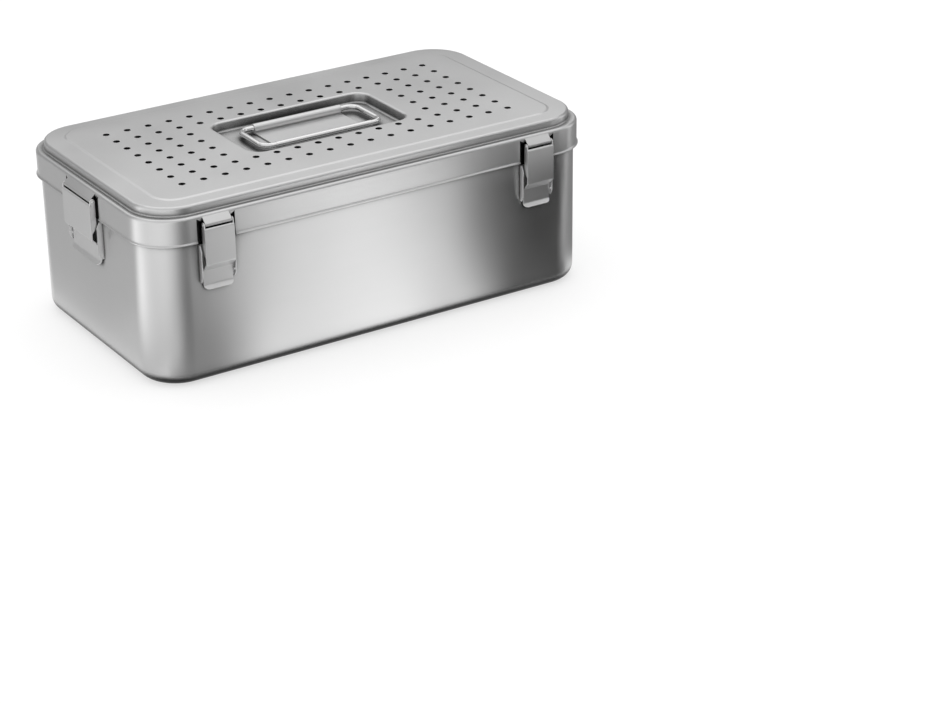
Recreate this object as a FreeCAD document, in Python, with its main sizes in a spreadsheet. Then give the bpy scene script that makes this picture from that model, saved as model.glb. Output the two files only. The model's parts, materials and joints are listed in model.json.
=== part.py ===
"""Sterilization container for surgical instruments: a deep-drawn steel tub, a perforated lid with a
sunk folding handle, six spring clips and the instrument basket that stands inside.

Millimetres, +Z up. The origin is the middle of the tub's flat underside, X runs along the long
sides and -Y is the front. Each sub-part is one Body whose sizes are bound to the sheet "sizes".
"""
import FreeCAD, Part
import math
import os
import re
import Sketcher
from FreeCAD import Placement, Rotation, Vector

doc = FreeCAD.newDocument("sterilization_container")

# Driving dimensions

SIZES = {
    "lid_length": (500, "outside of the lid's skirt along X"),
    "lid_width": (276, "outside of the lid's skirt along Y"),
    "lid_corner": (44, "corner radius of the skirt"),
    "lid_wall": (1.2, "sheet of the lid"),
    "lid_top": (182, "height of the raised panel above the ground"),
    "panel_rise": (0.9, "raised panel above the lid's platform"),
    "panel_end_margin": (20, "platform beyond the panel's foot, at the short ends"),
    "panel_side_margin": (16.5, "platform beyond the panel's foot, along the long sides"),
    "panel_corner": (24, "corner radius of the raised panel"),
    "panel_slope": (76, "slope of the panel's edge from upright, degrees"),
    "platform_corner": (41, "corner radius of the platform"),
    "shelf_drop": (10, "rim shelf below the raised panel"),
    "shelf_width": (7, "rim shelf between skirt and platform"),
    "skirt_height": (27, "rim shelf to the skirt's lower edge"),
    "skirt_lip": (1.3, "outward lip at the skirt's lower edge"),
    "edge_round": (3, "outside rounding of the lid's pressed edges"),
    "foot_round": (1.5, "rounding at the platform's foot"),
    "hole_pitch": (23, "grid of the steam holes"),
    "hole_bore": (6, "steam hole diameter"),
    "hole_columns": (17, "steam holes along X"),
    "side_columns": (4, "steam holes along X beside the recess"),
    "side_rows": (4, "steam holes along Y beside the recess"),
    "edge_rows": (2, "full rows of steam holes before and behind the recess"),
    "recess_length": (180, "handle recess along X, at the panel"),
    "recess_width": (97, "handle recess along Y, at the panel"),
    "recess_corner": (16, "corner radius of the recess"),
    "recess_depth": (10, "recess floor below the panel"),
    "recess_slope": (14, "draught of the recess walls, degrees"),
    "tub_inset": (3.5, "tub wall inside the outside of the skirt"),
    "tub_wall": (1.2, "sheet of the tub"),
    "tub_foot_round": (14, "rounding round the tub's floor"),
    "rim_height": (3.5, "folded rim, height"),
    "rim_bulge": (0.8, "folded rim beyond the tub wall"),
    "gasket_width": (4.4, "gasket under the rim shelf"),
    "gasket_height": (2.8, "gasket between the tub's rim and the rim shelf"),
    "gasket_gap": (0.4, "gasket to the inside of the skirt"),
    "clip_inset": (70, "middle of the front and back clips to the lid's short ends"),
    "clip_width": (31, "front and back clips"),
    "end_clip_width": (60, "clips on the short ends"),
    "clip_sheet": (1.2, "sheet of the clips"),
    "pin_reach": (7.2, "hinge pin beyond the tub wall"),
    "pin_drop": (8.8, "hinge pin below the rim shelf"),
    "pin_radius": (1.0, "hinge pin"),
    "pin_end": (0.6, "pin ends beyond the clip"),
    "pin_fit": (0.05, "running clearance round the hinge pins"),
    "curl_radius": (2.2, "outside of the curled hinge strips"),
    "curl_gap": (0.25, "clip plate to the curled strip"),
    "side_gap": (0.4, "clip ear to the curled strip, along the pin"),
    "notch_gap": (4.5, "clip to the side of its notch in the skirt"),
    "notch_rise": (3.7, "notch corners above the notch's top"),
    "strip_turn": (51.5, "where the strip's face meets its curl, degrees from level"),
    "strip_lift": (1.0, "outer bend of the hinge strip above its inner one"),
    "plate_drop": (3.0, "top of the clip plate below the pin"),
    "plate_reach": (39.2, "lower bend of the clip plate below the pin"),
    "top_round": (0.7, "rounding of the clip's upper edge"),
    "joggle_round": (1.2, "inside rounding of the clip's joggle"),
    "tab_gap": (1.5, "clip tab to the tub wall"),
    "tab_reach": (62.2, "where the clip tab bends outward, below the pin"),
    "tab_round": (3.6, "inside rounding of the tab's bend"),
    "tab_lift": (3.4, "outward reach of the bent end of the tab"),
    "tab_corner": (5, "corner radius of the tab"),
    "ear_depth": (6.4, "clip ears inward from the plate's face"),
    "ear_reach": (34.2, "lower end of the ears below the pin"),
    "ear_slant": (8, "height of the slanted end of the ears"),
    "ear_crown": (2.4, "top of the ears above the pin"),
    "ear_flat": (1.8, "half of the flat top of the ears"),
    "ear_shoulder": (1, "inner corner of the ears below the pin"),
    "catch_sheet": (1.0, "sheet of the catches"),
    "catch_gap": (1.5, "clip edge to the catch's flange"),
    "catch_start": (21.2, "upper end of the catch below the pin"),
    "catch_reach": (59.2, "lower end of the catch below the pin"),
    "catch_depth": (6, "catch flanges beyond the tub wall"),
    "dimple_reach": (52.2, "snap dimples below the pin"),
    "dimple_radius": (1.4, "snap dimples"),
    "snap_gap": (0.3, "snap dimples to the clip's edge"),
    "leaf_length": (100, "handle hinge plate along X"),
    "leaf_width": (40, "handle hinge plate along Y"),
    "leaf_sheet": (1.5, "handle hinge plate"),
    "handle_pivot": (25, "handle pivot behind the middle"),
    "bail_radius": (2.75, "handle wire"),
    "bail_length": (134.5, "handle along X, wire centre to wire centre"),
    "bail_depth": (54, "handle along Y, wire centre to wire centre"),
    "bail_corner": (11, "handle corner, wire centre"),
    "knuckle_wall": (1.25, "wall of the handle's knuckle"),
    "wire_fit": (0.1, "running clearance round the wires"),
    "grip_length": (109, "grip sleeve"),
    "grip_wall": (1.4, "wall of the grip sleeve"),
    "basket_end_gap": (20.3, "basket to the inside of the tub's short ends"),
    "basket_side_gap": (18.3, "basket to the inside of the tub's long sides"),
    "basket_height": (68, "basket wall, floor to top"),
    "basket_corner": (20, "corner radius of the basket"),
    "basket_sheet": (1.0, "sheet of the basket"),
    "basket_round": (8, "rounding round the basket floor"),
    "mesh_margin": (25, "outer floor holes to the basket's short ends"),
    "mesh_bore": (12, "floor hole diameter"),
    "mesh_columns": (11, "floor holes along X"),
    "mesh_rows": (5, "floor holes along Y"),
    "vent_length": (24, "slots in the basket walls"),
    "vent_height": (8, "slots in the basket walls"),
    "vent_level": (34, "slots above the basket floor"),
    "vent_columns": (11, "slots along each long wall"),
    "vent_rows": (5, "slots along each short wall"),
    "frame_radius": (2.2, "wire round the basket's top"),
    "seat_gap": (0.05, "wires and sleeves to what they are welded to"),
    "drop_radius": (2.2, "basket handle wire"),
    "drop_length": (110, "basket handle along Y, wire centre to wire centre"),
    "drop_depth": (44, "basket handle along X, wire centre to wire centre"),
    "drop_corner": (9, "basket handle corner, wire centre"),
    "drop_level": (60, "basket handle pivot above the basket floor"),
    "eye_wall": (1.2, "wall of the basket's handle eyes"),
    "eye_length": (16, "handle eye along the wire"),
    "eye_spacing": (70, "handle eyes, centre to centre"),
    "eye_tail": (22, "handle eye strap below the pivot"),
}

# Formulas over the sheet, used by name like its cells

FORMULAS = {
    "platform_length": "(lid_length - 2 * shelf_width)",
    "platform_width": "(lid_width - 2 * shelf_width)",
    "panel_length": "(platform_length - 2 * panel_end_margin)",
    "panel_width": "(platform_width - 2 * panel_side_margin)",
    "platform_top": "(lid_top - panel_rise)",
    "shelf_level": "(lid_top - shelf_drop)",
    "skirt_foot": "(shelf_level - skirt_height)",
    "recess_floor": "(lid_top - recess_depth)",
    "tub_length": "(lid_length - 2 * tub_inset)",
    "tub_width": "(lid_width - 2 * tub_inset)",
    "tub_corner": "(lid_corner - tub_inset)",
    "tub_height": "(shelf_level - lid_wall - gasket_height)",
    "clip_spacing": "(lid_length - 2 * clip_inset)",
    "pin_level": "(shelf_level - pin_drop)",
    "plate_foot": "(pin_level - plate_reach)",
    "tab_foot": "(pin_level - tab_reach)",
    "ear_foot": "(pin_level - ear_reach)",
    "catch_top": "(pin_level - catch_start)",
    "catch_foot": "(pin_level - catch_reach)",
    "dimple_level": "(pin_level - dimple_reach)",
    "plate_face": "(pin_reach + curl_radius + curl_gap + clip_sheet)",
    "plate_top": "(pin_level - plate_drop)",
    "plate_back": "(plate_face - clip_sheet)",
    "tab_face": "(tab_gap + clip_sheet)",
    "tab_top": "(plate_foot - plate_face + tab_face)",
    "bend_shift": "(clip_sheet * tan(22.5 deg))",
    "slant_shift": "(clip_sheet * sin(45 deg))",
    "ear_back": "(plate_face - ear_depth)",
    "pivot_level": "(recess_floor + leaf_sheet + knuckle_wall + wire_fit + bail_radius)",
    "knuckle_radius": "(bail_radius + wire_fit + knuckle_wall)",
    "basket_length": "(tub_length - 2 * tub_wall - 2 * basket_end_gap)",
    "basket_width": "(tub_width - 2 * tub_wall - 2 * basket_side_gap)",
    "mesh_pitch": "((basket_length - 2 * mesh_margin) / (mesh_columns - 1))",
    "basket_floor": "tub_wall",
    "basket_top": "(basket_floor + basket_height)",
    "eye_radius": "(drop_radius + wire_fit + eye_wall)",
    "eye_reach": "(basket_length / 2 - basket_sheet - eye_radius)",
    "eye_height": "(basket_floor + drop_level)",
}

sheet = doc.addObject("Spreadsheet::Sheet", "sizes")
for row, (name, (size, note)) in enumerate(SIZES.items(), start=1):
    sheet.set(f"A{row}", name)
    sheet.set(f"B{row}", str(size))
    sheet.set(f"C{row}", note)
    sheet.setAlias(f"B{row}", name)
doc.recompute()


# Working with the sheet

def cells(text):
    """Turn a formula over size names into an expression over the sheet's cells."""
    for _ in FORMULAS:
        text = re.sub(r"[a-z]+(?:_[a-z]+)+", lambda word: FORMULAS.get(word.group(), word.group()), text)
    return re.sub(r"[a-z]+(?:_[a-z]+)+", lambda word: "sizes." + word.group(), text)


def value(text):
    """Number that a formula over the size names gives now."""
    return float(sheet.evalExpression(cells(text)))


def bind(item, setting, text):
    """Tie one setting of an object to a formula over the sheet."""
    item.setExpression(setting, cells(text))


# Sketches

def new_body(name):
    body = doc.addObject("PartDesign::Body", name)
    body.Label = name
    return body


def plane(body, role):
    """One of the body's own origin planes or axes."""
    return next(item for item in body.Origin.OriginFeatures if item.Role == role)


def new_sketch(body, name, role, offset=None):
    """Sketch on an origin plane of the body, moved along the plane's normal."""
    sketch = body.newObject("Sketcher::SketchObject", f"{body.Label}_{name}")
    sketch.AttachmentSupport = [(plane(body, role), "")]
    sketch.MapMode = "FlatFace"
    if offset is not None:
        bind(sketch, "AttachmentOffset.Base.z", offset)
    return sketch


def constrain(sketch, kind, arguments, name, text):
    """Add a dimension to a sketch and tie it to a formula."""
    index = sketch.addConstraint(Sketcher.Constraint(kind, *arguments, value(text)))
    sketch.renameConstraint(index, name)
    bind(sketch, "Constraints." + name, text)


def place_point(sketch, item, end, across, up, name):
    """Hold a point at a formula's distance from the sketch's origin, or on an axis at zero."""
    for kind, text, axis, letter in (("DistanceX", across, -2, "x"), ("DistanceY", up, -1, "y")):
        if abs(value(text)) < 1e-9:
            sketch.addConstraint(Sketcher.Constraint("PointOnObject", item, end, axis))
        else:
            constrain(sketch, kind, (-1, 1, item, end), name + letter, text)


def draw_polygon(sketch, corners, name="p"):
    """Closed outline through corners given as pairs of formulas."""
    points = [Vector(value(across), value(up), 0) for across, up in corners]
    lines = [Part.LineSegment(a, b) for a, b in zip(points, points[1:] + points[:1])]
    ids = sketch.addGeometry(lines, False)
    for here, after in zip(ids, ids[1:] + ids[:1]):
        sketch.addConstraint(Sketcher.Constraint("Coincident", here, 2, after, 1))
    for number, (item, (across, up)) in enumerate(zip(ids, corners)):
        place_point(sketch, item, 1, across, up, f"{name}{number}")


def draw_circle(sketch, across, up, radius, name="c"):
    circle = Part.Circle(Vector(value(across), value(up), 0), Vector(0, 0, 1), value(radius))
    item = sketch.addGeometry(circle, False)
    place_point(sketch, item, 3, across, up, name)
    constrain(sketch, "Radius", (item,), name + "r", radius)


def draw_rounded(sketch, length, width, radius, name="r"):
    """Rectangle with round corners about the sketch's origin."""
    half_x, half_y, round_size = value(length) / 2, value(width) / 2, value(radius)
    flat_x, flat_y = half_x - round_size, half_y - round_size
    sides = [((-flat_x, -half_y), (flat_x, -half_y)), ((half_x, -flat_y), (half_x, flat_y)),
             ((flat_x, half_y), (-flat_x, half_y)), ((-half_x, flat_y), (-half_x, -flat_y))]
    shapes = [Part.LineSegment(Vector(*a, 0), Vector(*b, 0)) for a, b in sides]
    middles = [(flat_x, -flat_y), (flat_x, flat_y), (-flat_x, flat_y), (-flat_x, -flat_y)]
    for quarter, (x, y) in enumerate(middles):
        circle = Part.Circle(Vector(x, y, 0), Vector(0, 0, 1), round_size)
        start = math.radians(90 * quarter - 90)
        shapes.append(Part.ArcOfCircle(circle, start, start + math.pi / 2))
    front, right, back, left, *arcs = sketch.addGeometry(shapes, False)
    around = [front, arcs[0], right, arcs[1], back, arcs[2], left, arcs[3]]
    for here, after in zip(around, around[1:] + around[:1]):
        sketch.addConstraint(Sketcher.Constraint("Tangent", here, 2, after, 1))
    for arc in arcs[1:]:
        sketch.addConstraint(Sketcher.Constraint("Equal", arcs[0], arc))
    sketch.addConstraint([Sketcher.Constraint("Horizontal", back), Sketcher.Constraint("Vertical", left),
                          Sketcher.Constraint("Symmetric", front, 1, front, 2, -2),
                          Sketcher.Constraint("Symmetric", right, 1, right, 2, -1)])
    constrain(sketch, "Radius", (arcs[0],), name + "corner", radius)
    constrain(sketch, "DistanceX", (left, 1, right, 1), name + "length", length)
    constrain(sketch, "DistanceY", (front, 1, back, 2), name + "width", width)


# Features

def finish_feature(body, feature, before, grows):
    """Recompute, and stop if a feature failed or acted the wrong way round."""
    doc.recompute()
    if not feature.isValid() or feature.Shape.isNull():
        raise ValueError(f"{feature.Name} failed: {feature.State}")
    change = feature.Shape.Volume - before
    if change * grows <= 0:
        raise ValueError(f"{feature.Name} changed the volume by {change:.3f}")
    return feature


def volume_of(body):
    return body.Tip.Shape.Volume if body.Tip else 0.0


def pad(body, name, sketch, length, flipped=False, centred=False, taper=None):
    before = volume_of(body)
    feature = body.newObject("PartDesign::Pad", f"{body.Label}_{name}")
    feature.Profile = sketch
    feature.Reversed = flipped
    feature.Midplane = centred
    bind(feature, "Length", length)
    if taper:
        bind(feature, "TaperAngle", taper)
    return finish_feature(body, feature, before, 1)


def pocket(body, name, sketch, length=None, flipped=False, taper=None):
    """Cut a sketch to a depth, or right through both ways when no depth is given."""
    before = volume_of(body)
    feature = body.newObject("PartDesign::Pocket", f"{body.Label}_{name}")
    feature.Profile = sketch
    feature.Reversed = flipped
    if length is None:
        feature.Type = "ThroughAll"
        feature.Midplane = True
    else:
        bind(feature, "Length", length)
    if taper:
        bind(feature, "TaperAngle", taper)
    return finish_feature(body, feature, before, -1)


def pattern(body, name, originals, steps, grows):
    """Repeat features by steps: ("mirror", plane role) or (axis role, spacing formula, count formula)."""
    before = volume_of(body)
    many = body.newObject("PartDesign::MultiTransform", f"{body.Label}_{name}")
    many.Originals = originals
    parts = []
    for number, step in enumerate(steps):
        if step[0] == "mirror":
            part = body.newObject("PartDesign::Mirrored", f"{body.Label}_{name}_{number}")
            part.MirrorPlane = (plane(body, step[1]), [""])
        else:
            part = body.newObject("PartDesign::LinearPattern", f"{body.Label}_{name}_{number}")
            part.Direction = (plane(body, step[0]), [""])
            bind(part, "Length", step[1])
            bind(part, "Occurrences", step[2])
        parts.append(part)
    many.Transformations = parts
    body.Tip = many
    return finish_feature(body, many, before, grows)


def dress(body, name, kind, size, wanted):
    """Fillet or chamfer the edges of the body that the test picks."""
    base = body.Tip
    edges = [f"Edge{number}" for number, edge in enumerate(base.Shape.Edges, start=1) if wanted(edge)]
    if not edges:
        raise ValueError(f"{body.Label}: no edge for {name}")
    feature = body.newObject("PartDesign::" + kind, f"{body.Label}_{name}")
    feature.Base = (base, edges)
    bind(feature, "Radius" if kind == "Fillet" else "Size", size)
    doc.recompute()
    if not feature.isValid() or feature.Shape.isNull() or not feature.Shape.isValid():
        raise ValueError(f"{feature.Name} failed on {len(edges)} edges: {feature.State}")
    return feature


def on_outline(length, width, corner, level):
    """Test for edges at one height that follow a rounded rectangle about the origin."""
    half_x, half_y, round_size, height = (value(text) for text in
                                          (f"{length} / 2", f"{width} / 2", corner, level))

    def off_outline(point):
        x = abs(point.x) - half_x + round_size
        y = abs(point.y) - half_y + round_size
        return math.hypot(max(x, 0), max(y, 0)) + min(max(x, y), 0) - round_size

    def test(edge):
        points = [edge.valueAt(edge.FirstParameter + share * (edge.LastParameter - edge.FirstParameter))
                  for share in (0.0, 0.5, 1.0)]
        return all(abs(point.z - height) < 0.02 and abs(off_outline(point)) < 0.02 for point in points)

    return test


def lies_at(places):
    """Test for straight edges along X through given (y, z) places."""
    def test(edge):
        box = edge.BoundBox
        if box.YLength > 1e-6 or box.ZLength > 1e-6:
            return False
        return any(math.hypot(box.YMin - y, box.ZMin - z) < 0.01 for y, z in places)

    return test


# The tub

def make_tub():
    body = new_body("tub_shell")
    outline = new_sketch(body, "outline", "XY_Plane")
    draw_rounded(outline, "tub_length", "tub_width", "tub_corner")
    pad(body, "block", outline, "tub_height")
    rim = new_sketch(body, "rim_outline", "XY_Plane", "tub_height - rim_height")
    draw_rounded(rim, "tub_length + 2 * rim_bulge", "tub_width + 2 * rim_bulge", "tub_corner + rim_bulge")
    pad(body, "rim", rim, "rim_height")
    inside = new_sketch(body, "inside_outline", "XY_Plane", "tub_wall")
    inner = ("tub_length - 2 * tub_wall", "tub_width - 2 * tub_wall", "tub_corner - tub_wall")
    draw_rounded(inside, *inner)
    pocket(body, "inside", inside, "tub_height", flipped=True)
    dress(body, "inside_foot", "Fillet", "tub_foot_round - tub_wall",
          on_outline(f"({inner[0]})", f"({inner[1]})", inner[2], "tub_wall"))
    dress(body, "foot", "Fillet", "tub_foot_round", on_outline("tub_length", "tub_width", "tub_corner", "0"))
    dress(body, "rim_edge", "Fillet", "rim_bulge / 2",
          on_outline("(tub_length + 2 * rim_bulge)", "(tub_width + 2 * rim_bulge)",
                     "tub_corner + rim_bulge", "tub_height"))


# The lid

def make_lid():
    body = new_body("lid_shell")
    skirt = new_sketch(body, "skirt_outline", "XY_Plane", "skirt_foot")
    draw_rounded(skirt, "lid_length", "lid_width", "lid_corner")
    pad(body, "skirt", skirt, "skirt_height")
    platform = new_sketch(body, "platform_outline", "XY_Plane", "shelf_level")
    draw_rounded(platform, "platform_length", "platform_width", "platform_corner")
    pad(body, "platform", platform, "shelf_drop - panel_rise")
    dress(body, "shelf_edge", "Fillet", "edge_round",
          on_outline("lid_length", "lid_width", "lid_corner", "shelf_level"))
    dress(body, "platform_edge", "Fillet", "edge_round",
          on_outline("platform_length", "platform_width", "platform_corner", "platform_top"))
    dress(body, "platform_foot", "Fillet", "foot_round",
          on_outline("platform_length", "platform_width", "platform_corner", "shelf_level"))
    panel = new_sketch(body, "panel_outline", "XY_Plane", "platform_top")
    draw_rounded(panel, "panel_length", "panel_width", "panel_corner")
    pad(body, "panel", panel, "panel_rise", taper="-panel_slope")
    lip = new_sketch(body, "lip_outline", "XY_Plane", "skirt_foot")
    draw_rounded(lip, "lid_length + 2 * skirt_lip", "lid_width + 2 * skirt_lip", "lid_corner + skirt_lip")
    pad(body, "lip", lip, "lid_wall")

    hollow = new_sketch(body, "hollow_outline", "XY_Plane", "skirt_foot")
    hollow_shape = ("lid_length - 2 * lid_wall", "lid_width - 2 * lid_wall", "lid_corner - lid_wall")
    draw_rounded(hollow, *hollow_shape)
    pocket(body, "hollow", hollow, "skirt_height - lid_wall", flipped=True)
    vault = new_sketch(body, "vault_outline", "XY_Plane", "shelf_level - lid_wall")
    vault_shape = ("platform_length - 2 * lid_wall", "platform_width - 2 * lid_wall",
                   "platform_corner - lid_wall")
    draw_rounded(vault, *vault_shape)
    pocket(body, "vault", vault, "shelf_drop - panel_rise", flipped=True)
    dress(body, "vault_edge", "Fillet", "edge_round - lid_wall",
          on_outline(f"({vault_shape[0]})", f"({vault_shape[1]})", vault_shape[2],
                     "platform_top - lid_wall"))

    bowl = new_sketch(body, "bowl_outline", "XY_Plane", "platform_top")
    draw_rounded(bowl, "recess_length + 2 * lid_wall", "recess_width + 2 * lid_wall",
                 "recess_corner + lid_wall")
    pad(body, "bowl", bowl, "recess_depth - panel_rise + lid_wall", flipped=True, taper="-recess_slope")
    recess = new_sketch(body, "recess_outline", "XY_Plane", "lid_top")
    draw_rounded(recess, "recess_length", "recess_width", "recess_corner")
    pocket(body, "recess", recess, "recess_depth", taper="-recess_slope")

    grid = "hole_pitch"
    first_row = new_sketch(body, "edge_hole", "XY_Plane", "lid_top")
    outer_row = f"({grid} * (side_rows + 2 * edge_rows - 1) / 2)"
    draw_circle(first_row, f"-{grid} * (hole_columns - 1) / 2", f"-{outer_row}", "hole_bore / 2")
    edge_hole = pocket(body, "edge_bore", first_row, "recess_depth")
    pattern(body, "edge_holes", [edge_hole],
            [("X_Axis", f"{grid} * (hole_columns - 1)", "hole_columns"),
             ("Y_Axis", f"{grid} * (edge_rows - 1)", "edge_rows"), ("mirror", "XZ_Plane")], -1)
    side_row = new_sketch(body, "side_hole", "XY_Plane", "lid_top")
    draw_circle(side_row, f"-{grid} * (hole_columns - 1) / 2", f"-{grid} * (side_rows - 1) / 2",
                "hole_bore / 2")
    side_hole = pocket(body, "side_bore", side_row, "recess_depth")
    pattern(body, "side_holes", [side_hole],
            [("X_Axis", f"{grid} * (side_columns - 1)", "side_columns"),
             ("Y_Axis", f"{grid} * (side_rows - 1)", "side_rows"), ("mirror", "YZ_Plane")], -1)

    notches = new_sketch(body, "notches", "XZ_Plane")
    for side in (-1, 1):
        draw_notch(notches, f"{side} * clip_spacing / 2", "clip_width", f"n{side + 1}")
    pocket(body, "notch", notches)
    end_notches = new_sketch(body, "end_notches", "YZ_Plane")
    draw_notch(end_notches, "0 * clip_width", "end_clip_width", "e")
    pocket(body, "end_notch", end_notches)

    strips = [add_strip(body, "strip", "YZ_Plane", "tub_width / 2", "clip_width", "clip_spacing / 2"),
              add_curl(body, "curl", "YZ_Plane", "tub_width / 2", "clip_width", "clip_spacing / 2")]
    pattern(body, "strips", strips, [("mirror", "XZ_Plane"), ("mirror", "YZ_Plane")], 1)
    ends = [add_strip(body, "end_strip", "XZ_Plane", "tub_length / 2", "end_clip_width", None),
            add_curl(body, "end_curl", "XZ_Plane", "tub_length / 2", "end_clip_width", None)]
    pattern(body, "end_strips", ends, [("mirror", "YZ_Plane")], 1)
    for name, role, half in (("bores", "YZ_Plane", "tub_width / 2"),
                             ("end_bores", "XZ_Plane", "tub_length / 2")):
        holes = new_sketch(body, name, role)
        for side in (-1, 1):
            draw_circle(holes, f"{side} * ({half} + pin_reach)", "pin_level", "pin_radius + pin_fit",
                        f"b{side + 1}")
        pocket(body, name + "_cut", holes)


def draw_notch(sketch, middle, width, name):
    """Notch in the skirt: its two upper corners run up to points beside the hinge strip."""
    reach = f"({width} / 2 + notch_gap)"
    strip = f"({width} / 2 - clip_sheet - side_gap)"
    foot, root = "skirt_foot - notch_rise", "(shelf_level - edge_round - notch_rise)"
    corners = [(f"{middle} - {reach}", foot), (f"{middle} - {reach}", f"{root} + notch_rise"),
               (f"{middle} - {strip}", root), (f"{middle} + {strip}", root),
               (f"{middle} + {reach}", f"{root} + notch_rise"), (f"{middle} + {reach}", foot)]
    draw_polygon(sketch, corners, name)


def add_strip(body, name, role, half, width, offset):
    """Hinge strip that bends out of the skirt and runs down to its curl."""
    sketch = new_sketch(body, name + "_profile", role, offset)
    skirt = f"({half} + tub_inset)"
    pin = f"({half} + pin_reach)"
    level = "(shelf_level - edge_round)"
    touch = (f"{pin} + curl_radius * cos(strip_turn * 1 deg)",
             "pin_level + curl_radius * sin(strip_turn * 1 deg)")
    corners = [(f"{skirt} - lid_wall", f"{level} - notch_rise"), (skirt, f"{level} - notch_rise"),
               (pin, "pin_level + curl_radius - lid_wall"), touch,
               (skirt, level + " + strip_lift"), (f"{skirt} - lid_wall", level)]
    draw_polygon(sketch, corners)
    return pad(body, name, sketch, f"{width} - 2 * (clip_sheet + side_gap)", centred=True)


def add_curl(body, name, role, half, width, offset):
    sketch = new_sketch(body, name + "_profile", role, offset)
    draw_circle(sketch, f"{half} + pin_reach", "pin_level", "curl_radius")
    return pad(body, name, sketch, f"{width} - 2 * (clip_sheet + side_gap)", centred=True)


def make_gasket():
    body = new_body("lid_gasket")
    ring = new_sketch(body, "ring", "XY_Plane", "tub_height")
    inset = "(lid_wall + gasket_gap)"
    draw_rounded(ring, f"lid_length - 2 * {inset}", f"lid_width - 2 * {inset}", f"lid_corner - {inset}", "o")
    inner = "(lid_wall + gasket_gap + gasket_width)"
    draw_rounded(ring, f"lid_length - 2 * {inner}", f"lid_width - 2 * {inner}", f"lid_corner - {inner}", "i")
    pad(body, "strip", ring, "gasket_height")


# Clips, their pins and their catches, drawn with +Y away from the tub wall and turned into place

def clip_places():
    """Name, width formula, place of the wall's middle and turn about Z for the six clips."""
    places = []
    for row, turn, side in (("front", 180, -1), ("back", 0, 1)):
        for end, along in (("left", -1), ("right", 1)):
            places.append((f"{row}_{end}", "clip_width", f"{along} * clip_spacing / 2",
                           f"{side} * tub_width / 2", turn))
    places.append(("left_end", "end_clip_width", "-tub_length / 2", "0 * tub_width", 90))
    places.append(("right_end", "end_clip_width", "tub_length / 2", "0 * tub_width", -90))
    return places


def turn_into_place(body, across, along, turn):
    body.Placement = Placement(Vector(0, 0, 0), Rotation(Vector(0, 0, 1), turn))
    bind(body, "Placement.Base.x", across)
    bind(body, "Placement.Base.y", along)


def make_clip(place, width, across, along, turn):
    body = new_body("clip_" + place)
    profile = new_sketch(body, "profile", "YZ_Plane")
    corners = [("plate_back", "plate_top"), ("plate_face", "plate_top"), ("plate_face", "plate_foot"),
               ("tab_face", "tab_top"), ("tab_face", "tab_foot"),
               ("tab_face + tab_lift", "tab_foot - tab_lift"),
               ("tab_face + tab_lift - slant_shift", "tab_foot - tab_lift - slant_shift"),
               ("tab_gap", "tab_foot - bend_shift"), ("tab_gap", "tab_top + bend_shift"),
               ("plate_back", "plate_foot + bend_shift")]
    draw_polygon(profile, corners)
    pad(body, "sheet", profile, width, centred=True)
    bends = [("joggle_round", (2, 8)), ("joggle_round + clip_sheet", (3, 9)), ("tab_round", (4,)),
             ("tab_round + clip_sheet", (7,))]
    for number, (size, picked) in enumerate(bends):
        spots = [(value(corners[index][0]), value(corners[index][1])) for index in picked]
        dress(body, f"bend{number}", "Fillet", size, lies_at(spots))
    dress(body, "top_edge", "Fillet", "top_round", lies_at([(value("plate_face"), value("plate_top"))]))

    tip = value("tab_foot - tab_lift")

    def tab_corner(edge):
        box = edge.BoundBox
        return box.XLength < 1e-6 and box.ZMin < tip and edge.Length < value("1.1 * clip_sheet")

    dress(body, "tab_corners", "Fillet", "tab_corner", tab_corner)
    ear = new_sketch(body, "ear", "YZ_Plane", f"{width} / 2 - clip_sheet")
    root = "plate_back + clip_sheet / 2"
    crown = "pin_level + ear_crown"
    draw_polygon(ear, [(root, "ear_foot"), (root, "plate_top"), ("pin_reach + ear_flat", crown),
                       ("pin_reach - ear_flat", crown), ("ear_back", "pin_level - ear_shoulder"),
                       ("ear_back", "ear_foot + ear_slant")])
    side = pad(body, "ear_pad", ear, "clip_sheet")
    pattern(body, "ears", [side], [("mirror", "YZ_Plane")], 1)
    bore = new_sketch(body, "bore", "YZ_Plane")
    draw_circle(bore, "pin_reach", "pin_level", "pin_radius + pin_fit")
    pocket(body, "bore_cut", bore)
    turn_into_place(body, across, along, turn)


def make_pins():
    for place, width, across, along, turn in clip_places():
        body = new_body("pin_" + place)
        sketch = new_sketch(body, "round", "YZ_Plane")
        draw_circle(sketch, "pin_reach", "pin_level", "pin_radius")
        pad(body, "pin", sketch, f"{width} + 2 * pin_end", centred=True)
        turn_into_place(body, across, along, turn)


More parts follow.
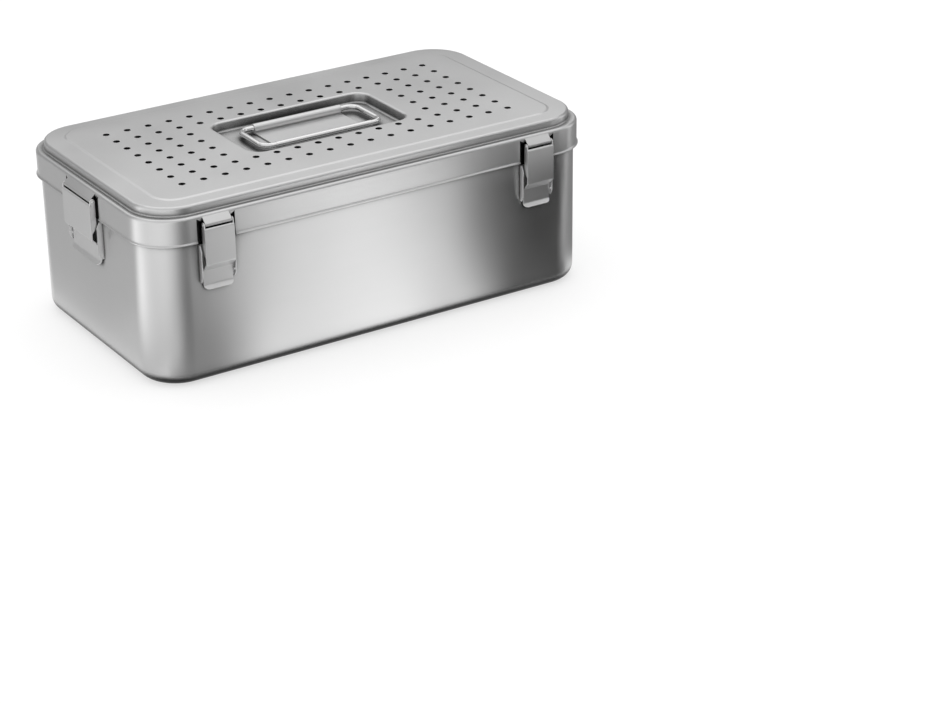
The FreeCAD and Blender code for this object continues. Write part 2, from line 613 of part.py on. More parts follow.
def make_catch(place, width, across, along, turn):
    body = new_body("catch_" + place)
    inner = f"({width} / 2 + catch_gap)"
    outer = f"({inner} + catch_sheet)"
    plate = new_sketch(body, "plate", "XZ_Plane")
    draw_polygon(plate, [(f"-{outer}", "catch_foot"), (outer, "catch_foot"), (outer, "catch_top"),
                         (f"-{outer}", "catch_top")])
    pad(body, "plate_pad", plate, "catch_sheet", flipped=True)
    flange = new_sketch(body, "flange", "YZ_Plane", inner)
    draw_polygon(flange, [("0 * catch_depth", "catch_foot"), ("catch_depth / 2", "catch_foot"),
                          ("catch_depth", "catch_foot + catch_depth"),
                          ("catch_depth", "catch_top - catch_depth"), ("catch_depth / 2", "catch_top"),
                          ("0 * catch_depth", "catch_top")])
    side = pad(body, "flange_pad", flange, "catch_sheet")
    dimple = new_sketch(body, "dimple", "YZ_Plane", f"{width} / 2 + snap_gap")
    draw_circle(dimple, "tab_gap + clip_sheet / 2 + dimple_radius / 2", "dimple_level", "dimple_radius")
    snap = pad(body, "dimple_pad", dimple, "catch_gap - snap_gap + catch_sheet / 2")
    pattern(body, "sides", [side, snap], [("mirror", "YZ_Plane")], 1)
    turn_into_place(body, across, along, turn)


# The lid's handle and the wires of the basket

def make_wire(name, length, depth, corner, radius, level):
    """Closed loop of round wire about the body's own origin, lying flat at a height."""
    body = new_body(name)
    path = new_sketch(body, "path", "XY_Plane", level)
    draw_rounded(path, length, depth, corner)
    section = new_sketch(body, "section", "YZ_Plane")
    draw_circle(section, f"-({depth}) / 2", level, radius)
    doc.recompute()
    sweep = body.newObject("PartDesign::AdditivePipe", name + "_sweep")
    sweep.Profile = section
    sweep.Spine = path
    return finish_feature(body, sweep, 0.0, 1), body


def make_handle():
    _, bail = make_wire("handle_bail", "bail_length", "bail_depth", "bail_corner", "bail_radius",
                        "pivot_level")
    bind(bail, "Placement.Base.y", "handle_pivot - bail_depth / 2")
    grip = new_body("handle_grip")
    ring = new_sketch(grip, "ring", "YZ_Plane")
    for name, radius in (("i", "bail_radius + seat_gap"), ("o", "bail_radius + seat_gap + grip_wall")):
        draw_circle(ring, "handle_pivot - bail_depth", "pivot_level", radius, name)
    pad(grip, "sleeve", ring, "grip_length", centred=True)

    plate = new_body("handle_hinge_plate")
    leaf = new_sketch(plate, "leaf", "YZ_Plane")
    back, front = "handle_pivot", "(handle_pivot - leaf_width)"
    draw_polygon(leaf, [(front, "recess_floor"), (back, "recess_floor"),
                        (back, "pivot_level - bail_radius - wire_fit - knuckle_wall / 2"),
                        (f"{back} - knuckle_radius / 2", "recess_floor + leaf_sheet"),
                        (front, "recess_floor + leaf_sheet")])
    pad(plate, "leaf_pad", leaf, "leaf_length", centred=True)
    knuckle = new_sketch(plate, "knuckle", "YZ_Plane")
    draw_circle(knuckle, "handle_pivot", "pivot_level", "knuckle_radius")
    pad(plate, "knuckle_pad", knuckle, "leaf_length", centred=True)
    bore = new_sketch(plate, "bore", "YZ_Plane")
    draw_circle(bore, "handle_pivot", "pivot_level", "bail_radius + wire_fit")
    pocket(plate, "bore_cut", bore)


# The instrument basket

def make_basket():
    body = new_body("basket_tray")
    outline = new_sketch(body, "outline", "XY_Plane", "basket_floor")
    draw_rounded(outline, "basket_length", "basket_width", "basket_corner")
    pad(body, "block", outline, "basket_height")
    inner = ("basket_length - 2 * basket_sheet", "basket_width - 2 * basket_sheet",
             "basket_corner - basket_sheet")
    inside = new_sketch(body, "inside_outline", "XY_Plane", "basket_floor + basket_sheet")
    draw_rounded(inside, *inner)
    pocket(body, "inside", inside, "basket_height", flipped=True)
    dress(body, "inside_foot", "Fillet", "basket_round - basket_sheet",
          on_outline(f"({inner[0]})", f"({inner[1]})", inner[2], "basket_floor + basket_sheet"))
    dress(body, "foot", "Fillet", "basket_round",
          on_outline("basket_length", "basket_width", "basket_corner", "basket_floor"))
    hole = new_sketch(body, "floor_hole", "XY_Plane", "basket_floor + basket_sheet")
    draw_circle(hole, "-mesh_pitch * (mesh_columns - 1) / 2", "-mesh_pitch * (mesh_rows - 1) / 2",
                "mesh_bore / 2")
    bore = pocket(body, "floor_bore", hole, "2 * basket_sheet")
    pattern(body, "floor_holes", [bore],
            [("X_Axis", "mesh_pitch * (mesh_columns - 1)", "mesh_columns"),
             ("Y_Axis", "mesh_pitch * (mesh_rows - 1)", "mesh_rows")], -1)
    for name, role, axis, count in (("long", "XZ_Plane", "X_Axis", "vent_columns"),
                                    ("short", "YZ_Plane", "Y_Axis", "vent_rows")):
        slot = new_sketch(body, name + "_slot", role)
        middle = f"(-mesh_pitch * ({count} - 1) / 2)"
        level = "(basket_floor + vent_level)"
        draw_polygon(slot, [(f"{middle} - vent_length / 2", f"{level} - vent_height / 2"),
                            (f"{middle} + vent_length / 2", f"{level} - vent_height / 2"),
                            (f"{middle} + vent_length / 2", f"{level} + vent_height / 2"),
                            (f"{middle} - vent_length / 2", f"{level} + vent_height / 2")])
        cut = pocket(body, name + "_vent", slot)
        pattern(body, name + "_vents", [cut], [(axis, f"mesh_pitch * ({count} - 1)", count)], -1)

    side = "(frame_radius + seat_gap)"
    make_wire("basket_rim", f"basket_length + 2 * {side}", f"basket_width + 2 * {side}",
              f"basket_corner + {side}", "frame_radius", "basket_top - frame_radius")
    for name, turn, side in (("left", 90, -1), ("right", -90, 1)):
        _, drop = make_wire("basket_handle_" + name, "drop_length", "drop_depth", "drop_corner",
                            "drop_radius", "0 * drop_depth")
        drop.Placement = Placement(Vector(0, 0, 0), Rotation(Vector(0, 0, 1), turn))
        bind(drop, "Placement.Base.x", f"{side} * (eye_reach - drop_depth / 2)")
        bind(drop, "Placement.Base.z", "eye_height")
        for end, along in (("front", -1), ("back", 1)):
            make_eye(f"{name}_{end}", f"{side} * eye_reach", f"{along} * eye_spacing / 2", turn)


def make_eye(place, across, along, turn):
    """Strap on the basket's end wall with an eye for the handle, drawn with +Y towards the wall."""
    body = new_body("basket_eye_" + place)
    strap = new_sketch(body, "strap", "YZ_Plane")
    inner, outer = "eye_radius - eye_wall", "eye_radius - seat_gap"
    draw_polygon(strap, [(inner, "-eye_tail"), (outer, "-eye_tail"), (outer, "0 * eye_tail"),
                         (inner, "0 * eye_tail")])
    pad(body, "strap_pad", strap, "eye_length", centred=True)
    eye = new_sketch(body, "eye", "YZ_Plane")
    draw_circle(eye, "0 * eye_radius", "0 * eye_radius", "eye_radius - seat_gap")
    pad(body, "eye_pad", eye, "eye_length", centred=True)
    bore = new_sketch(body, "bore", "YZ_Plane")
    draw_circle(bore, "0 * eye_radius", "0 * eye_radius", "drop_radius + wire_fit")
    pocket(body, "bore_cut", bore)
    turn_into_place(body, across, along, turn)
    bind(body, "Placement.Base.z", "eye_height")


make_tub()
make_lid()
make_gasket()
for clip_place in clip_places():
    make_clip(*clip_place)
    make_catch(*clip_place)
make_pins()
make_handle()
make_basket()
doc.recompute()

# Checks, then one file for each sub-part

sub_parts = [item for item in doc.Objects if item.TypeId == "PartDesign::Body"]
for item in doc.Objects:
    if "Invalid" in item.State or "Error" in item.State:
        raise ValueError(f"{item.Label} did not recompute: {item.State}")
for item in sub_parts:
    if item.Shape.isNull() or not item.Shape.isValid():
        raise ValueError(f"{item.Label} has no valid shape")
os.makedirs("parts", exist_ok=True)
for item in sub_parts:
    item.Shape.exportStep(f"parts/{item.Label}.step")
    print(f"{item.Label}: {len(item.Shape.Solids)} solid, {item.Shape.Volume / 1000:.2f} cm3")
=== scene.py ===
"""Looks of the sterilization container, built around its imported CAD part.

Every mesh is worked out in millimetres in the part's own frame and written in metres. The origin is
the middle of the tub's flat underside, X runs along the long sides, -Y is the front and +Z is up.
"""

import json
import logging
import math
from dataclasses import dataclass, field
from enum import Enum
from functools import cache

import bmesh
import bpy
from mathutils import Matrix, Vector
from mathutils.geometry import delaunay_2d_cdt

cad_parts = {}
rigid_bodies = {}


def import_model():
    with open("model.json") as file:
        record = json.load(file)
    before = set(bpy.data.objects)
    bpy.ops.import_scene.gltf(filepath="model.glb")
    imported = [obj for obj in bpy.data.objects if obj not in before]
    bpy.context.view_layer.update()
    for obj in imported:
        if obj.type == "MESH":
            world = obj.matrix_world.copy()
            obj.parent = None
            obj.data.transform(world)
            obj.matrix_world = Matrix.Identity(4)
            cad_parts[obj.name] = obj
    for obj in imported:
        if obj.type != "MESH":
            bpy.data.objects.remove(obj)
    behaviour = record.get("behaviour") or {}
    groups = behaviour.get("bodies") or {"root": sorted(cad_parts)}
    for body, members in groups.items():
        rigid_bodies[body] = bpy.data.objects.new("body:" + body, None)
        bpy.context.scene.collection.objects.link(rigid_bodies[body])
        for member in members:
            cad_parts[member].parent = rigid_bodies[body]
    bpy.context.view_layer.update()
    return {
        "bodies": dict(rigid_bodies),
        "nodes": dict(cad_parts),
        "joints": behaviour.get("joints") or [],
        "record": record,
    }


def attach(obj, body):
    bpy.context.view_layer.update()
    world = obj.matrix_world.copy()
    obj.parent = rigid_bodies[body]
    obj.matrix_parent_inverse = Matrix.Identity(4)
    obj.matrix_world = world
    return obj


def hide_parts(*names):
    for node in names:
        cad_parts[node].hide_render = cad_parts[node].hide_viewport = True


log = logging.getLogger("container")
MM = 0.001
Point2 = tuple[float, float]
Point3 = tuple[float, float, float]
Row = tuple[float, float, float, float]
Colour = tuple[float, float, float, float]
Corners = tuple[Point3, Point3, Point3, Point3]
Stations = tuple[tuple[float, ...], tuple[float, ...]]
NO_STATIONS: Stations = ((), ())
Socket = bpy.types.NodeSocket
Tree = bpy.types.NodeTree


# Outlines and meshes

CORNER_STEPS = 16
WIRE_CORNER_STEPS = 12
LEAST_CORNER = 0.05
STATION_MARGIN = 0.5
SHARP_ANGLE = 35.0
THIN_SHARP_ANGLE = 30.0
ROUNDING_ANGLE = 40.0
ROUNDING_SEGMENTS = 2
FACE_WEIGHT = 80
MERGE_DISTANCE = 2e-6
FLAT_ANGLE = 0.6
LEVEL_LIMIT = 0.95


@dataclass(frozen=True)
class Outline:
    """Rectangle with round corners about the Z axis, in millimetres."""
    length: float
    width: float
    corner: float

    def ring(self, inset: float = 0.0, stations: Stations = NO_STATIONS,
             steps: int = CORNER_STEPS) -> list[Point2]:
        """Points round the outline, counterclockwise from the left end of the front side.

        Args:
            inset: Distance inward from the outline; negative goes outward.
            stations: Places along X and along Y that get a point on both sides.
            steps: Parts in which each corner is divided.

        Returns:
            One (x, y) pair for each point.
        """
        half_x, half_y = self.length / 2 - inset, self.width / 2 - inset
        corner = max(self.corner - inset, LEAST_CORNER)
        flat_x, flat_y = half_x - corner, half_y - corner
        xs, ys = [[max(STATION_MARGIN - flat, min(flat - STATION_MARGIN, place))
                   for place in sorted(places)]
                  for flat, places in zip((flat_x, flat_y), stations)]
        sides = [[(x, -half_y) for x in xs], [(half_x, y) for y in ys],
                 [(x, half_y) for x in reversed(xs)], [(-half_x, y) for y in reversed(ys)]]
        middles = [(flat_x, -flat_y), (flat_x, flat_y), (-flat_x, flat_y), (-flat_x, -flat_y)]
        points = []
        for quarter, (side, middle) in enumerate(zip(sides, middles)):
            start = 90 * quarter - 90
            points += side + arc(middle, corner, start, start + 90, steps)
        return points

    def holds(self, x: float, y: float, inset: float) -> bool:
        """Tell whether a point lies inside the outline moved inward by an inset.

        Args:
            x: Place of the point along X.
            y: Its place along Y.
            inset: Distance inward from the outline; negative goes outward.

        Returns:
            True where it lies inside.
        """
        corner = self.corner - inset
        dx = abs(x) - self.length / 2 + inset + corner
        dy = abs(y) - self.width / 2 + inset + corner
        return math.hypot(max(dx, 0), max(dy, 0)) + min(max(dx, dy), 0) < corner


def arc(centre: Point2, radius: float, first: float, last: float, steps: int) -> list[Point2]:
    """Points of an arc, with angles in degrees."""
    turns = [math.radians(first + (last - first) * step / steps) for step in range(steps + 1)]
    return [(centre[0] + radius * math.cos(turn), centre[1] + radius * math.sin(turn))
            for turn in turns]


def bend(centre: Point2, radius: float, turn: Point2, steps: int, wall: float) -> list[Row]:
    """Both skins of a bend, as (inset, level, inner inset, inner level) rows.

    Args:
        centre: Middle of the bend as (inset, level).
        radius: Radius of the outer skin.
        turn: First and last angle in degrees.
        steps: Parts in which the bend is divided.
        wall: How much nearer to the centre the inner skin lies; negative where it is farther.

    Returns:
        One row for each step.
    """
    share = (radius - wall) / radius
    return [(inset, level, centre[0] + (inset - centre[0]) * share,
             centre[1] + (level - centre[1]) * share)
            for inset, level in arc(centre, radius, *turn, steps)]


def make_object(name: str, points: list[Point3], faces: list[tuple[int, ...]],
                sharp: float = SHARP_ANGLE, outward: bool = False) -> bpy.types.Object:
    """Make a smooth-shaded mesh object with sharp edges by angle.

    Args:
        name: Name of the object and its mesh.
        points: Places of the vertices, in millimetres.
        faces: Vertex numbers of each face, counterclockwise seen from outside.
        sharp: Angle in degrees above which an edge stays sharp.
        outward: Whether to turn the faces of the closed mesh outward.

    Returns:
        The object, linked to the scene.
    """
    mesh = bpy.data.meshes.new(name)
    mesh.from_pydata([Vector(point) * MM for point in points], [], faces)
    mesh.update()
    made = place_mesh(name, mesh, sharp)
    if outward:
        shape = bmesh.new()
        shape.from_mesh(mesh)
        bmesh.ops.recalc_face_normals(shape, faces=shape.faces)
        shape.to_mesh(mesh)
        shape.free()
    return made


def place_mesh(name: str, mesh: bpy.types.Mesh, sharp: float = 0.0) -> bpy.types.Object:
    """Shade a mesh smoothly and link it to the scene as an object.

    Args:
        name: Name of the object.
        mesh: Its mesh.
        sharp: Angle in degrees above which an edge stays sharp; none at zero.

    Returns:
        The object.
    """
    mesh.polygons.foreach_set("use_smooth", [True] * len(mesh.polygons))
    if sharp:
        mesh.set_sharp_from_angle(angle=math.radians(sharp))
    made = bpy.data.objects.new(name, mesh)
    bpy.context.scene.collection.objects.link(made)
    return made


def soften(piece: bpy.types.Object, width: float = 0.0,
           angle: float = ROUNDING_ANGLE) -> bpy.types.Object:
    """Round the sharp edges a little and let large faces carry the shading.

    Args:
        piece: Object that gets the modifiers.
        width: Width of the rounding in millimetres; none at zero.
        angle: Angle in degrees from which an edge is rounded.

    Returns:
        The same object.
    """
    if width:
        bevel = piece.modifiers.new("edge_rounding", "BEVEL")
        bevel.width = width * MM
        bevel.segments = ROUNDING_SEGMENTS
        bevel.limit_method = "ANGLE"
        bevel.angle_limit = math.radians(angle)
        bevel.use_clamp_overlap = True
    normals = piece.modifiers.new("face_shading", "WEIGHTED_NORMAL")
    normals.keep_sharp = True
    normals.weight = FACE_WEIGHT
    return piece


@dataclass
class Sheet:
    """Sheet metal: an outer skin whose points each have a partner on the inner skin."""
    outer: list[Point3] = field(default_factory=list)
    inner: list[Point3] = field(default_factory=list)
    faces: list[tuple[int, ...]] = field(default_factory=list)
    left_open: set[frozenset[int]] = field(default_factory=set)

    def add(self, outer: Point3, inner: Point3) -> int:
        """Add a pair of partner points and return their number."""
        self.outer.append(outer)
        self.inner.append(inner)
        return len(self.outer) - 1

    def add_ring(self, outer: list[Point2], top: float, inner: list[Point2],
                 below: float) -> list[int]:
        """Add a ring of partner points at two heights.

        Args:
            outer: Places of the outer skin's ring.
            top: Its height.
            inner: Places of the inner skin's ring.
            below: Its height.

        Returns:
            Numbers of the new points.
        """
        return [self.add((x, y, top), (u, v, below)) for (x, y), (u, v) in zip(outer, inner)]

    def add_rows(self, outline: Outline, rows: list[Row],
                 stations: Stations = NO_STATIONS) -> list[list[int]]:
        """Add a ring for each row of a wall or bend.

        Args:
            outline: Outline that the rows are inset from.
            rows: (inset, level, inner inset, inner level) of each ring.
            stations: Places along X and along Y that get a point.

        Returns:
            Numbers of each ring's points.
        """
        return [self.add_ring(outline.ring(inset, stations), level,
                              outline.ring(under, stations), below)
                for inset, level, under, below in rows]

    def join_rings(self, rings: list[list[int]]) -> None:
        """Join closed rings of the same count, each to the next, with four-sided faces.

        Args:
            rings: Numbers of each ring's points, from the top down.
        """
        for upper, lower in zip(rings, rings[1:]):
            for here in range(len(upper)):
                after = (here + 1) % len(upper)
                self.faces.append((lower[here], lower[after], upper[after], upper[here]))

    def build(self, name: str, sharp: float = SHARP_ANGLE,
              outward: bool = False) -> bpy.types.Object:
        """Close the edges between the two skins and make the mesh.

        Args:
            name: Name of the object.
            sharp: Angle in degrees above which an edge stays sharp.
            outward: Whether to turn the faces outward.

        Returns:
            The new object.
        """
        count = len(self.outer)
        faces = list(self.faces)
        faces += [tuple(index + count for index in reversed(face)) for face in self.faces]
        used: dict[frozenset[int], list[tuple[int, int]]] = {}
        for face in self.faces:
            for start, end in zip(face, face[1:] + face[:1]):
                used.setdefault(frozenset((start, end)), []).append((start, end))
        for edge, runs in used.items():
            if len(runs) == 1 and edge not in self.left_open:
                start, end = runs[0]
                faces.append((end, start, start + count, end + count))
        return make_object(name, self.outer + self.inner, faces, sharp, outward)


def wire_loop(name: str, outline: Outline, radius: float, centre: Point3,
              sides: int = 20) -> bpy.types.Object:
    """Closed loop of round wire that lies flat.

    Args:
        name: Name of the object.
        outline: Middle line of the wire.
        radius: Radius of the wire.
        centre: Middle of the loop.
        sides: Faces round the wire.

    Returns:
        The new object.
    """
    line = outline.ring(steps=WIRE_CORNER_STEPS)
    points = []
    for here, (x, y) in enumerate(line):
        before, after = Vector(line[here - 1]), Vector(line[(here + 1) % len(line)])
        run = (after - before).normalized()
        for side in range(sides):
            turn = 2 * math.pi * side / sides
            reach = radius * math.cos(turn)
            points.append((centre[0] + x + run.y * reach, centre[1] + y - run.x * reach,
                           centre[2] + radius * math.sin(turn)))
    return make_object(name, points, closed_grid(len(line), sides))


def closed_grid(rows: int, columns: int) -> list[tuple[int, ...]]:
    """Faces of a grid of points that closes on itself both ways.

    Args:
        rows: Number of rows.
        columns: Points in each row.

    Returns:
        Vertex numbers of each face.
    """
    faces = []
    for row in range(rows):
        here, after = row * columns, (row + 1) % rows * columns
        for step in range(columns):
            nearby = (step + 1) % columns
            faces.append((here + step, after + step, after + nearby, here + nearby))
    return faces


def turned(name: str, profile: list[Point2], start: Point3, sides: int = 32) -> bpy.types.Object:
    """Round piece about a line along X.

    Args:
        name: Name of the object.
        profile: Closed outline as (place along X, radius) pairs.
        start: A point on the axis.
        sides: Faces round the piece.

    Returns:
        The new object.
    """
    points = []
    for side in range(sides):
        turn = 2 * math.pi * side / sides
        points += [(start[0] + along, start[1] + radius * math.cos(turn),
                    start[2] + radius * math.sin(turn)) for along, radius in profile]
    return make_object(name, points, closed_grid(sides, len(profile)), outward=True)


def lay_brushing(mesh: bpy.types.Mesh) -> None:
    """Add the UV map of the satin lines: its U runs up the walls and along Y on level faces.

    Args:
        mesh: Mesh that gets the map.
    """
    layer = mesh.uv_layers.new(name="brushing")
    upward = Vector((0, 0, 1))
    values = [0.0] * (2 * len(mesh.loops))
    for face in mesh.polygons:
        normal = face.normal
        if abs(normal.z) > LEVEL_LIMIT:
            run = Vector((0, 1, 0))
        else:
            run = (upward - normal * normal.z).normalized()
        across = normal.cross(run)
        for index in face.loop_indices:
            place = mesh.vertices[mesh.loops[index].vertex_index].co
            values[2 * index:2 * index + 2] = place.dot(run), place.dot(across)
    layer.data.foreach_set("uv", values)


def refined(node: str, frame: dict, width: float) -> bpy.types.Object:
    """Merged copy of a CAD node with flat faces joined and edges rounded.

    Args:
        node: Name of the CAD node.
        width: Rounding of the sharp edges in millimetres; none at zero.

    Returns:
        The copy, as an object of its own.
    """
    mesh = frame["nodes"][node].data.copy()
    mesh.name = node + "_finished"
    shape = bmesh.new()
    shape.from_mesh(mesh)
    bmesh.ops.remove_doubles(shape, verts=shape.verts, dist=MERGE_DISTANCE)
    bmesh.ops.dissolve_limit(shape, angle_limit=math.radians(FLAT_ANGLE), verts=shape.verts,
                             edges=shape.edges)
    shape.to_mesh(mesh)
    shape.free()
    return soften(place_mesh(node + "_finished", mesh, THIN_SHARP_ANGLE), width)


# Materials

WHITE = (1, 1, 1, 1)
LINE_STRETCH = (0.02, 0.02, 1.0)
LINE_DETAIL = 4.0
LINE_SHARE = 0.5
CLOUD_SCALE = 9.0
SPECKLE_SCALE = 1800.0
BUMP_DISTANCE = 0.0002
# Reach, open limit and samples of the ambient occlusion that lays painted shade in narrow gaps.
PAINTED_SHADE_REACH = 0.026
PAINTED_SHADE_CLEAR = 0.94
PAINTED_SHADE_SAMPLES = 12


def grey(tone: float) -> Colour:
    """Colour with the same tone in every channel."""
    return (tone, tone, tone, 1)


def feed(tree: Tree, node: bpy.types.Node, feeds: dict[str | int, object]) -> bpy.types.Node:
    """Link sockets to a node's inputs or give them plain values.

    Args:
        tree: Tree that holds the node.
        node: The node.
        feeds: Socket or value of each input, by its name or number.

    Returns:
        The same node.
    """
    for name, value in feeds.items():
        if isinstance(value, Socket):
            tree.links.new(value, node.inputs[name])
        else:
            node.inputs[name].default_value = value
    return node


def add_node(tree: Tree, kind: str, feeds: dict[str | int, object] | None = None,
             **settings: object) -> bpy.types.Node:
    """Add a node, set its properties and feed its inputs.

    Args:
        tree: Tree that gets the node.
        kind: Blender's name of the kind.
        feeds: Socket or value of each input, by its name or number.
        settings: Value of each property; they are set first.

    Returns:
        The node.
    """
    node = tree.nodes.new(kind)
    for name, value in settings.items():
        setattr(node, name, value)
    return feed(tree, node, feeds or {})


def maths(tree: Tree, operation: str, *values: float | Socket) -> Socket:
    """Do arithmetic on numbers or sockets and return the result's socket."""
    feeds = dict(enumerate(values))
    return add_node(tree, "ShaderNodeMath", feeds, operation=operation).outputs[0]


def vectors(tree: Tree, operation: str, feeds: dict[str | int, object]) -> Socket:
    """Do arithmetic on vectors and return the result's socket."""
    return add_node(tree, "ShaderNodeVectorMath", feeds, operation=operation).outputs[0]


def axes(tree: Tree, vector: Socket) -> bpy.types.NodeOutputs:
    """Split a vector into the sockets X, Y and Z."""
    return add_node(tree, "ShaderNodeSeparateXYZ", {0: vector}).outputs


def on_z(tree: Tree, value: Socket) -> Socket:
    """Make a vector along Z from a socket."""
    return add_node(tree, "ShaderNodeCombineXYZ", {"Z": value}).outputs[0]


def mixed(tree: Tree, factor: float | Socket, first: object, second: object,
          **settings: object) -> Socket:
    """Mix two colours, or two values where the settings say so.

    Args:
        tree: Tree that gets the node.
        factor: Share of the second one.
        first: Colour, value or socket.
        second: Colour, value or socket.
        settings: Value of each property that isn't as for colours.

    Returns:
        Socket of the result.
    """
    settings = {"data_type": "RGBA", **settings}
    feeds = {"Factor": factor, "A": first, "B": second}
    return add_node(tree, "ShaderNodeMix", feeds, **settings).outputs["Result"]


def noise(tree: Tree, vector: Socket, scale: float | Socket, detail: float) -> Socket:
    """Lay a noise texture on a vector and return its factor's socket."""
    feeds = {"Vector": vector, "Scale": scale, "Detail": detail}
    return add_node(tree, "ShaderNodeTexNoise", feeds).outputs["Fac"]


def spread(tree: Tree, factor: Socket, low: float | Socket, high: float | Socket,
           span: Point2 = (0.3, 0.7), shape: str = "LINEAR") -> Socket:
    """Map a factor to a range.

    Args:
        tree: Tree that gets the node.
        factor: Socket of the factor.
        low: Result at the start of the span.
        high: Result at its end.
        span: Start and end of the factor's span.
        shape: Blender's name of the way between them.

    Returns:
        Socket of the result.
    """
    feeds = {"Value": factor, "From Min": span[0], "From Max": span[1], "To Min": low,
             "To Max": high}
    return add_node(tree, "ShaderNodeMapRange", feeds, interpolation_type=shape).outputs["Result"]


def open_group(tree: Tree, inputs: tuple[tuple[str, str, object], ...],
               outputs: tuple[tuple[str, str], ...]
               ) -> tuple[bpy.types.NodeOutputs, bpy.types.Node]:
    """Give a group its named inputs and outputs.

    Args:
        tree: Tree of the group.
        inputs: Name, kind and first value of each input.
        outputs: Name and kind of each output.

    Returns:
        Sockets of the inputs, and the node that takes the outputs.
    """
    for name, kind, value in inputs:
        slot = tree.interface.new_socket(name, in_out="INPUT", socket_type="NodeSocket" + kind)
        if value is not None:
            slot.default_value = value
    for name, kind in outputs:
        tree.interface.new_socket(name, in_out="OUTPUT", socket_type="NodeSocket" + kind)
    return add_node(tree, "NodeGroupInput").outputs, add_node(tree, "NodeGroupOutput")


@cache
def grain_group() -> Tree:
    """Shared effect of satin steel, built once.

    Returns:
        Group that puts out the roughness of fine drawn lines and soft clouds, the lines' height and
        the clouds' shade.
    """
    tree = bpy.data.node_groups.new("satin_grain", "ShaderNodeTree")
    given, leave = open_group(
        tree, (("Vector", "Vector", None), ("Line Density", "Float", 900.0), ("Low", "Float", 0.25),
               ("High", "Float", 0.4), ("Cloud Depth", "Float", 0.03)),
        (("Roughness", "Float"), ("Height", "Float"), ("Shade", "Float")))
    place = given["Vector"]
    stretched = vectors(tree, "MULTIPLY", {0: place, 1: LINE_STRETCH})
    lines = noise(tree, stretched, given["Line Density"], LINE_DETAIL)
    clouds = noise(tree, place, CLOUD_SCALE, 2.0)
    speckle = noise(tree, place, SPECKLE_SCALE, 2.0)
    height = maths(tree, "MULTIPLY_ADD", lines, LINE_SHARE, spread(tree, speckle, 0.0, 0.5))
    depth = maths(tree, "MULTIPLY", spread(tree, clouds, -1.0, 1.0), given["Cloud Depth"])
    rough = maths(tree, "ADD", spread(tree, height, given["Low"], given["High"]), depth)
    feed(tree, leave, {"Roughness": rough, "Height": height,
                       "Shade": spread(tree, clouds, 0.0, 1.0)})
    return tree


def new_material(name: str) -> tuple[bpy.types.Material, Tree, bpy.types.Node]:
    """Make a material with nodes.

    Args:
        name: Name of the material.

    Returns:
        The material, its tree and its shader.
    """
    made = bpy.data.materials.new(name)
    made.use_nodes = True
    return made, made.node_tree, made.node_tree.nodes["Principled BSDF"]


@dataclass(frozen=True)
class SteelFinish:
    """Satin or polished stainless steel.

    Its pull, from 0 to 1, is how far the satin lines draw a reflection out along the brushing map.
    Its painted shade tone is the share of its tone that is left in narrow gaps found by ambient
    occlusion, painted shade for the shade that falls in slots, recesses and beside touching parts,
    or 1 without painted shade, and its painted shade openness is the share of open surroundings at
    which that painted shade is full.
    """
    name: str
    slot: str
    light: float
    dark: float
    low: float
    high: float
    pull: float = 0.0
    painted_shade_openness: float = 0.36
    painted_shade_tone: float = 0.03
    density: float = 900.0
    relief: float = 0.05
    cloud: float = 0.03
    metal: float = 1.0

    @cache
    def material(self) -> bpy.types.Material:
        """Build the material once.

        Returns:
            The material.
        """
        made, tree, shader = new_material(self.name)
        place = add_node(tree, "ShaderNodeTexCoord").outputs["Object"]
        grain = add_node(tree, "ShaderNodeGroup", node_tree=grain_group())
        feed(tree, grain, {"Vector": place, "Line Density": self.density, "Low": self.low,
                           "High": self.high, "Cloud Depth": self.cloud})
        tone = mixed(tree, grain.outputs["Shade"], grey(self.dark), grey(self.light))
        bump = add_node(tree, "ShaderNodeBump", {
            "Strength": self.relief, "Distance": BUMP_DISTANCE, "Height": grain.outputs["Height"]})
        # Painted shade: ambient occlusion darkens the base colour in slots, recesses and beside
        # touching parts, where shade falls.
        if self.painted_shade_tone < 1:
            gap = add_node(tree, "ShaderNodeAmbientOcclusion", {"Distance": PAINTED_SHADE_REACH},
                           samples=PAINTED_SHADE_SAMPLES)
            painted_shade_factor = spread(tree, gap.outputs["AO"], self.painted_shade_tone, 1.0, (self.painted_shade_openness, PAINTED_SHADE_CLEAR),
                           "SMOOTHERSTEP")
            tone = mixed(tree, 1.0, tone, painted_shade_factor, blend_type="MULTIPLY")
        feed(tree, shader, {
            "Base Color": tone, "Metallic": self.metal, "Roughness": grain.outputs["Roughness"],
            "Normal": bump.outputs["Normal"]})
        if self.pull:
            run = add_node(tree, "ShaderNodeTangent", direction_type="UV_MAP", uv_map="brushing")
            feed(tree, shader, {"Anisotropic": self.pull, "Tangent": run.outputs["Tangent"]})
        return made


@dataclass(frozen=True)
class SiliconeFinish:
    """Pale matt silicone of the gasket."""
    name: str = "gasket_silicone"
    slot: str = "silicone"
    light: Colour = (0.74, 0.75, 0.73, 1)
    dark: Colour = (0.66, 0.67, 0.65, 1)
    cloud_scale: float = 140.0

    @cache
    def material(self) -> bpy.types.Material:
        """Build the material once.

        Returns:
            The material.
        """
        made, tree, shader = new_material(self.name)
        place = add_node(tree, "ShaderNodeTexCoord").outputs["Object"]
        clouds = noise(tree, place, self.cloud_scale, 3.0)
        feed(tree, shader, {"Base Color": mixed(tree, clouds, self.dark, self.light),
                            "Roughness": spread(tree, clouds, 0.5, 0.65)})
        return made


